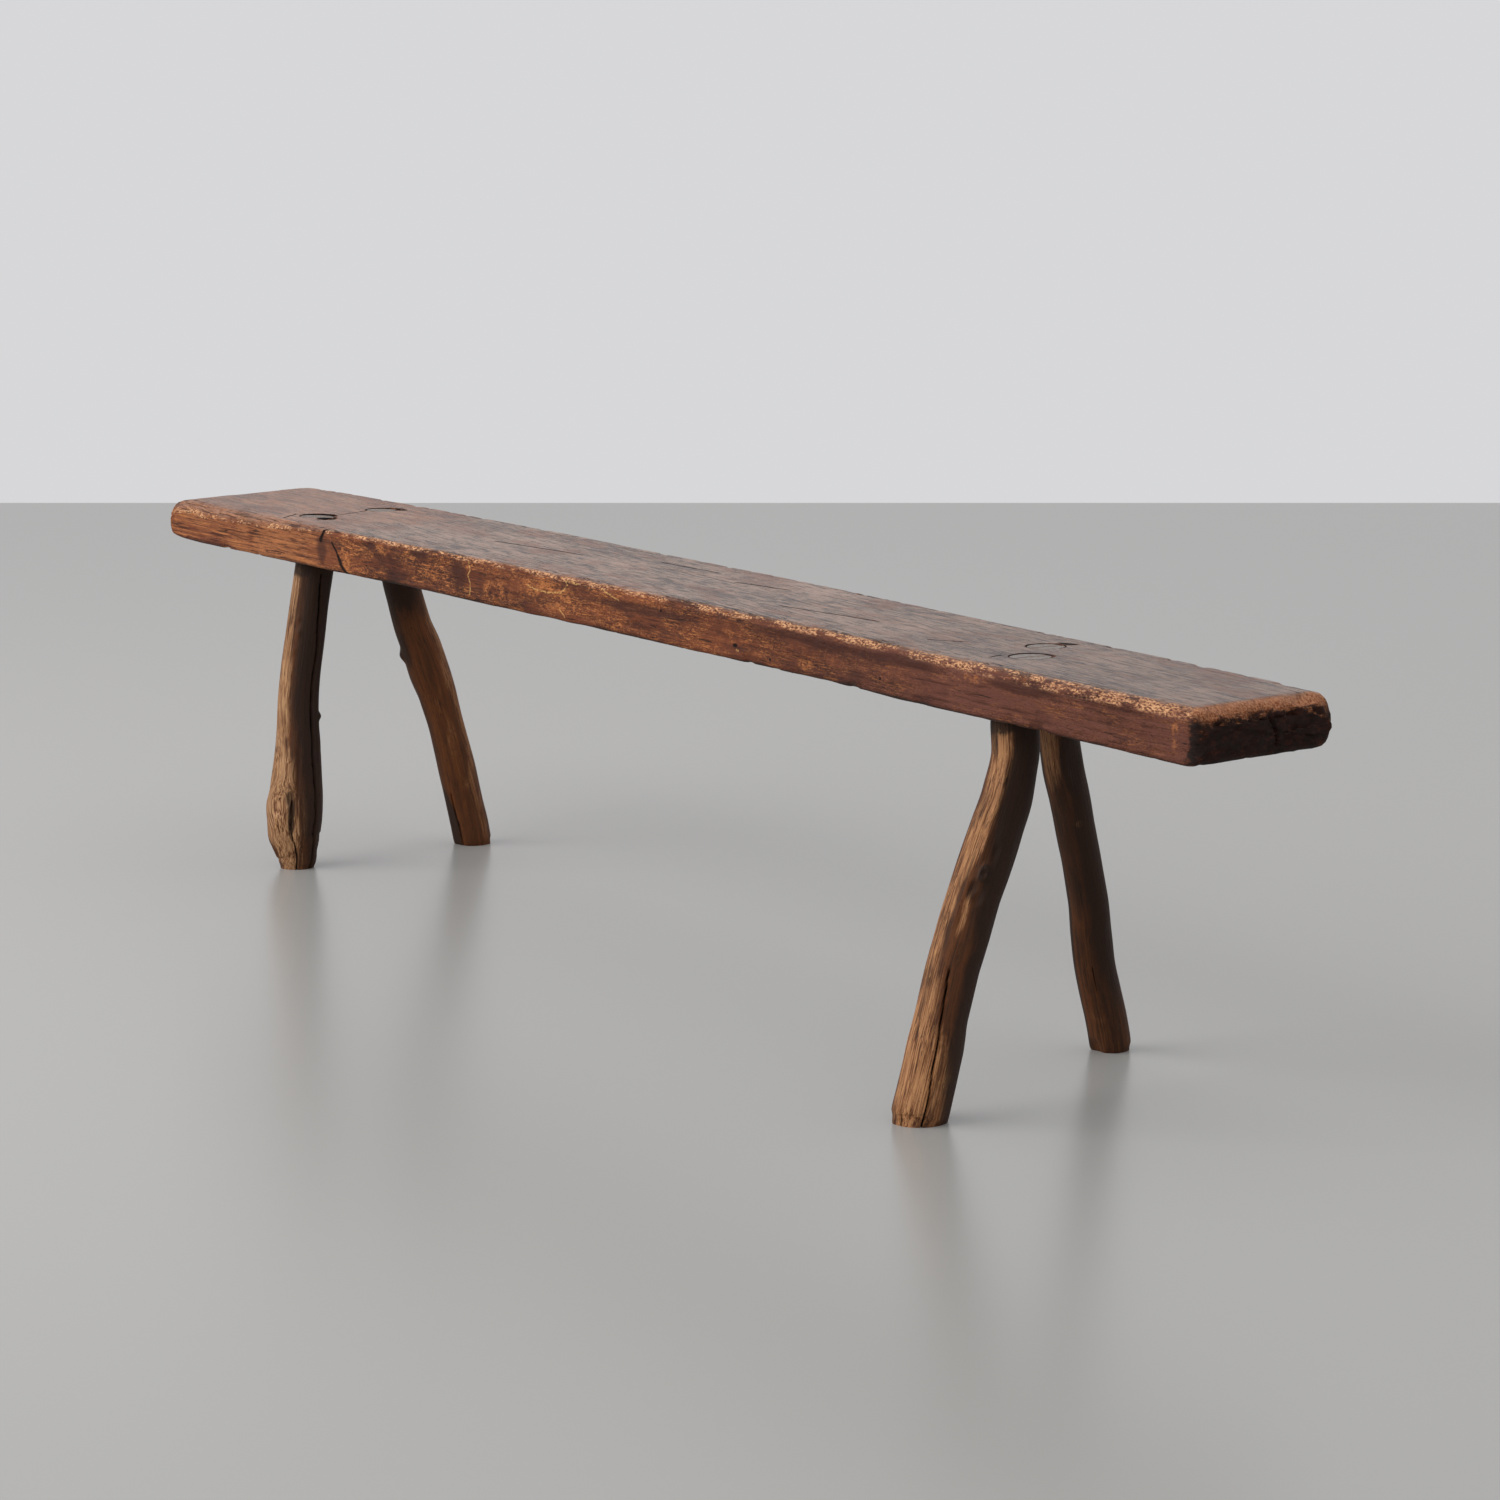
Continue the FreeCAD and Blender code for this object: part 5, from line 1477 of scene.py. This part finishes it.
class BENCH_OT_wedges(bpy.types.Operator):
    """Give the four wedges their split, dry wood"""
    bl_idname = "bench.wedges"
    bl_label = "Wedges"

    def execute(self, context):
        material = wedge_wood(context.scene.bench.colours)
        for name in LEG_NAMES:
            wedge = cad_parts["wedge_" + name]
            wedge.data.materials.clear()
            wedge.data.materials.append(material)
        return {"FINISHED"}


def lay_floor(stage, away, along):
    """The floor, which ends where the paler backdrop starts."""
    material = bpy.data.materials.new("plain floor")
    material.use_nodes = True
    sheet = Sheet(material.node_tree)
    sheet.feed_all(material.node_tree.nodes["Principled BSDF"], {
        "Base Color": stage.floor, "Roughness": stage.floor_roughness})
    reach = stage.floor_width / 2
    corners = [
        along * side * reach + away * far
        for side, far in ((-1, stage.floor_reach), (1, stage.floor_reach), (1, -reach), (-1, -reach))
    ]
    floor = new_piece("floor", corners, [(3, 2, 1, 0)])
    floor.data.materials.append(material)
    return floor


def hang_lamp(stage, away, along):
    """The large soft lamp, turned to the bench."""
    lamp = bpy.data.lights.new("soft key", "AREA")
    lamp.shape = "RECTANGLE"
    lamp.size, lamp.size_y = stage.key_size
    lamp.energy = stage.key_power
    key = bpy.data.objects.new("soft key", lamp)
    bpy.context.scene.collection.objects.link(key)
    key.location = along * stage.key_place[0] + away * stage.key_place[1] + Vector((0, 0, stage.key_place[2]))
    key.rotation_euler = (Vector((0, 0, 0.3)) - key.location).to_track_quat("-Z", "Y").to_euler()
    return key


def even_light(stage):
    """A white fill all round, where the camera and reflections see the plain backdrop."""
    world = bpy.data.worlds.new("even light")
    world.use_nodes = True
    nodes = world.node_tree.nodes
    sheet = Sheet(world.node_tree)
    sheet.feed_all(nodes["Background"], {"Color": (1, 1, 1), "Strength": stage.fill_strength})
    backdrop = sheet.add("ShaderNodeBackground", {"Color": stage.backdrop})
    rays = sheet.add("ShaderNodeLightPath").outputs
    seen = Value(sheet, rays["Is Camera Ray"]) | rays["Is Glossy Ray"] | rays["Is Transmission Ray"]
    mixed = sheet.give("ShaderNodeMixShader", 0, {
        "Fac": seen, 1: nodes["Background"].outputs[0], 2: backdrop.outputs[0]})
    sheet.feed_all(nodes["World Output"], {"Surface": mixed})
    return world


def set_camera(stage):
    """The camera at the photograph's place and angle."""
    camera = bpy.data.objects.new("camera", bpy.data.cameras.new("camera"))
    bpy.context.scene.collection.objects.link(camera)
    camera.location = stage.camera_place
    camera.rotation_euler = (math.pi / 2 - stage.camera_dip, 0, stage.camera_heading)
    camera.data.sensor_width = 36.0
    camera.data.lens = stage.lens
    return camera


class BENCH_OT_stage(bpy.types.Operator):
    """Set up the floor, the backdrop, the soft light and the camera"""
    bl_idname = "bench.stage"
    bl_label = "Stage"

    def execute(self, context):
        scene = context.scene
        stage = scene.bench.stage
        heading = stage.camera_heading
        away = Vector((-math.sin(heading), math.cos(heading), 0))
        along = Vector((math.cos(heading), math.sin(heading), 0))
        lay_floor(stage, away, along)
        hang_lamp(stage, away, along)
        scene.world = even_light(stage)
        scene.camera = set_camera(stage)
        scene.view_settings.view_transform = "Standard"
        return {"FINISHED"}


class BENCH_PT_sidebar(bpy.types.Panel):
    """Steps that make the bench, in their order"""
    bl_idname = "BENCH_PT_sidebar"
    bl_label = "Farmhouse bench"
    bl_space_type = "VIEW_3D"
    bl_region_type = "UI"
    bl_category = "Bench"

    def draw(self, context):
        for operator in OPERATORS:
            self.layout.operator(operator.bl_idname)
        bench = context.scene.bench
        for group in (bench.plank, bench.colours, bench.stage):
            box = self.layout.box()
            for key in group.bl_rna.properties.keys():
                if key not in ("rna_type", "name"):
                    box.prop(group, key)


def group_of(kind, name, description):
    return PointerProperty(type=kind, name=name, description=description)


class BENCH_PG_bench(bpy.types.PropertyGroup):
    plank: group_of(BENCH_PG_plank, "Plank", "Sizes of the seat plank")
    __annotations__.update({
        "leg_" + name: group_of(kind, name.replace("_", " ").capitalize() + " leg", "Its sizes")
        for name, kind in LEG_GROUPS.items()
    })
    joints: group_of(BENCH_PG_joints, "Joints", "Sizes of the tenons and wedges")
    branch: group_of(BENCH_PG_branch, "Branch", "The branches' fibres")
    colours: group_of(BENCH_PG_colours, "Colours", "Colours of the woods")
    stage: group_of(BENCH_PG_stage, "Stage", "Floor, backdrop, light and camera")


OPERATORS = (BENCH_OT_plank, BENCH_OT_legs, BENCH_OT_wedges, BENCH_OT_stage)
CLASSES = (
    BENCH_PG_plank, *LEG_GROUPS.values(), BENCH_PG_joints, BENCH_PG_branch, BENCH_PG_colours, BENCH_PG_stage,
    BENCH_PG_bench, *OPERATORS, BENCH_PT_sidebar,
)


def register():
    for kind in CLASSES:
        bpy.utils.register_class(kind)
    bpy.types.Scene.bench = group_of(BENCH_PG_bench, "Bench", "The farmhouse bench")


def unregister():
    del bpy.types.Scene.bench
    for kind in reversed(CLASSES):
        bpy.utils.unregister_class(kind)


def main():
    register()
    bpy.ops.bench.plank()
    bpy.ops.bench.legs()
    bpy.ops.bench.wedges()
    bpy.ops.bench.stage()


if __name__ == "__main__":
    main()
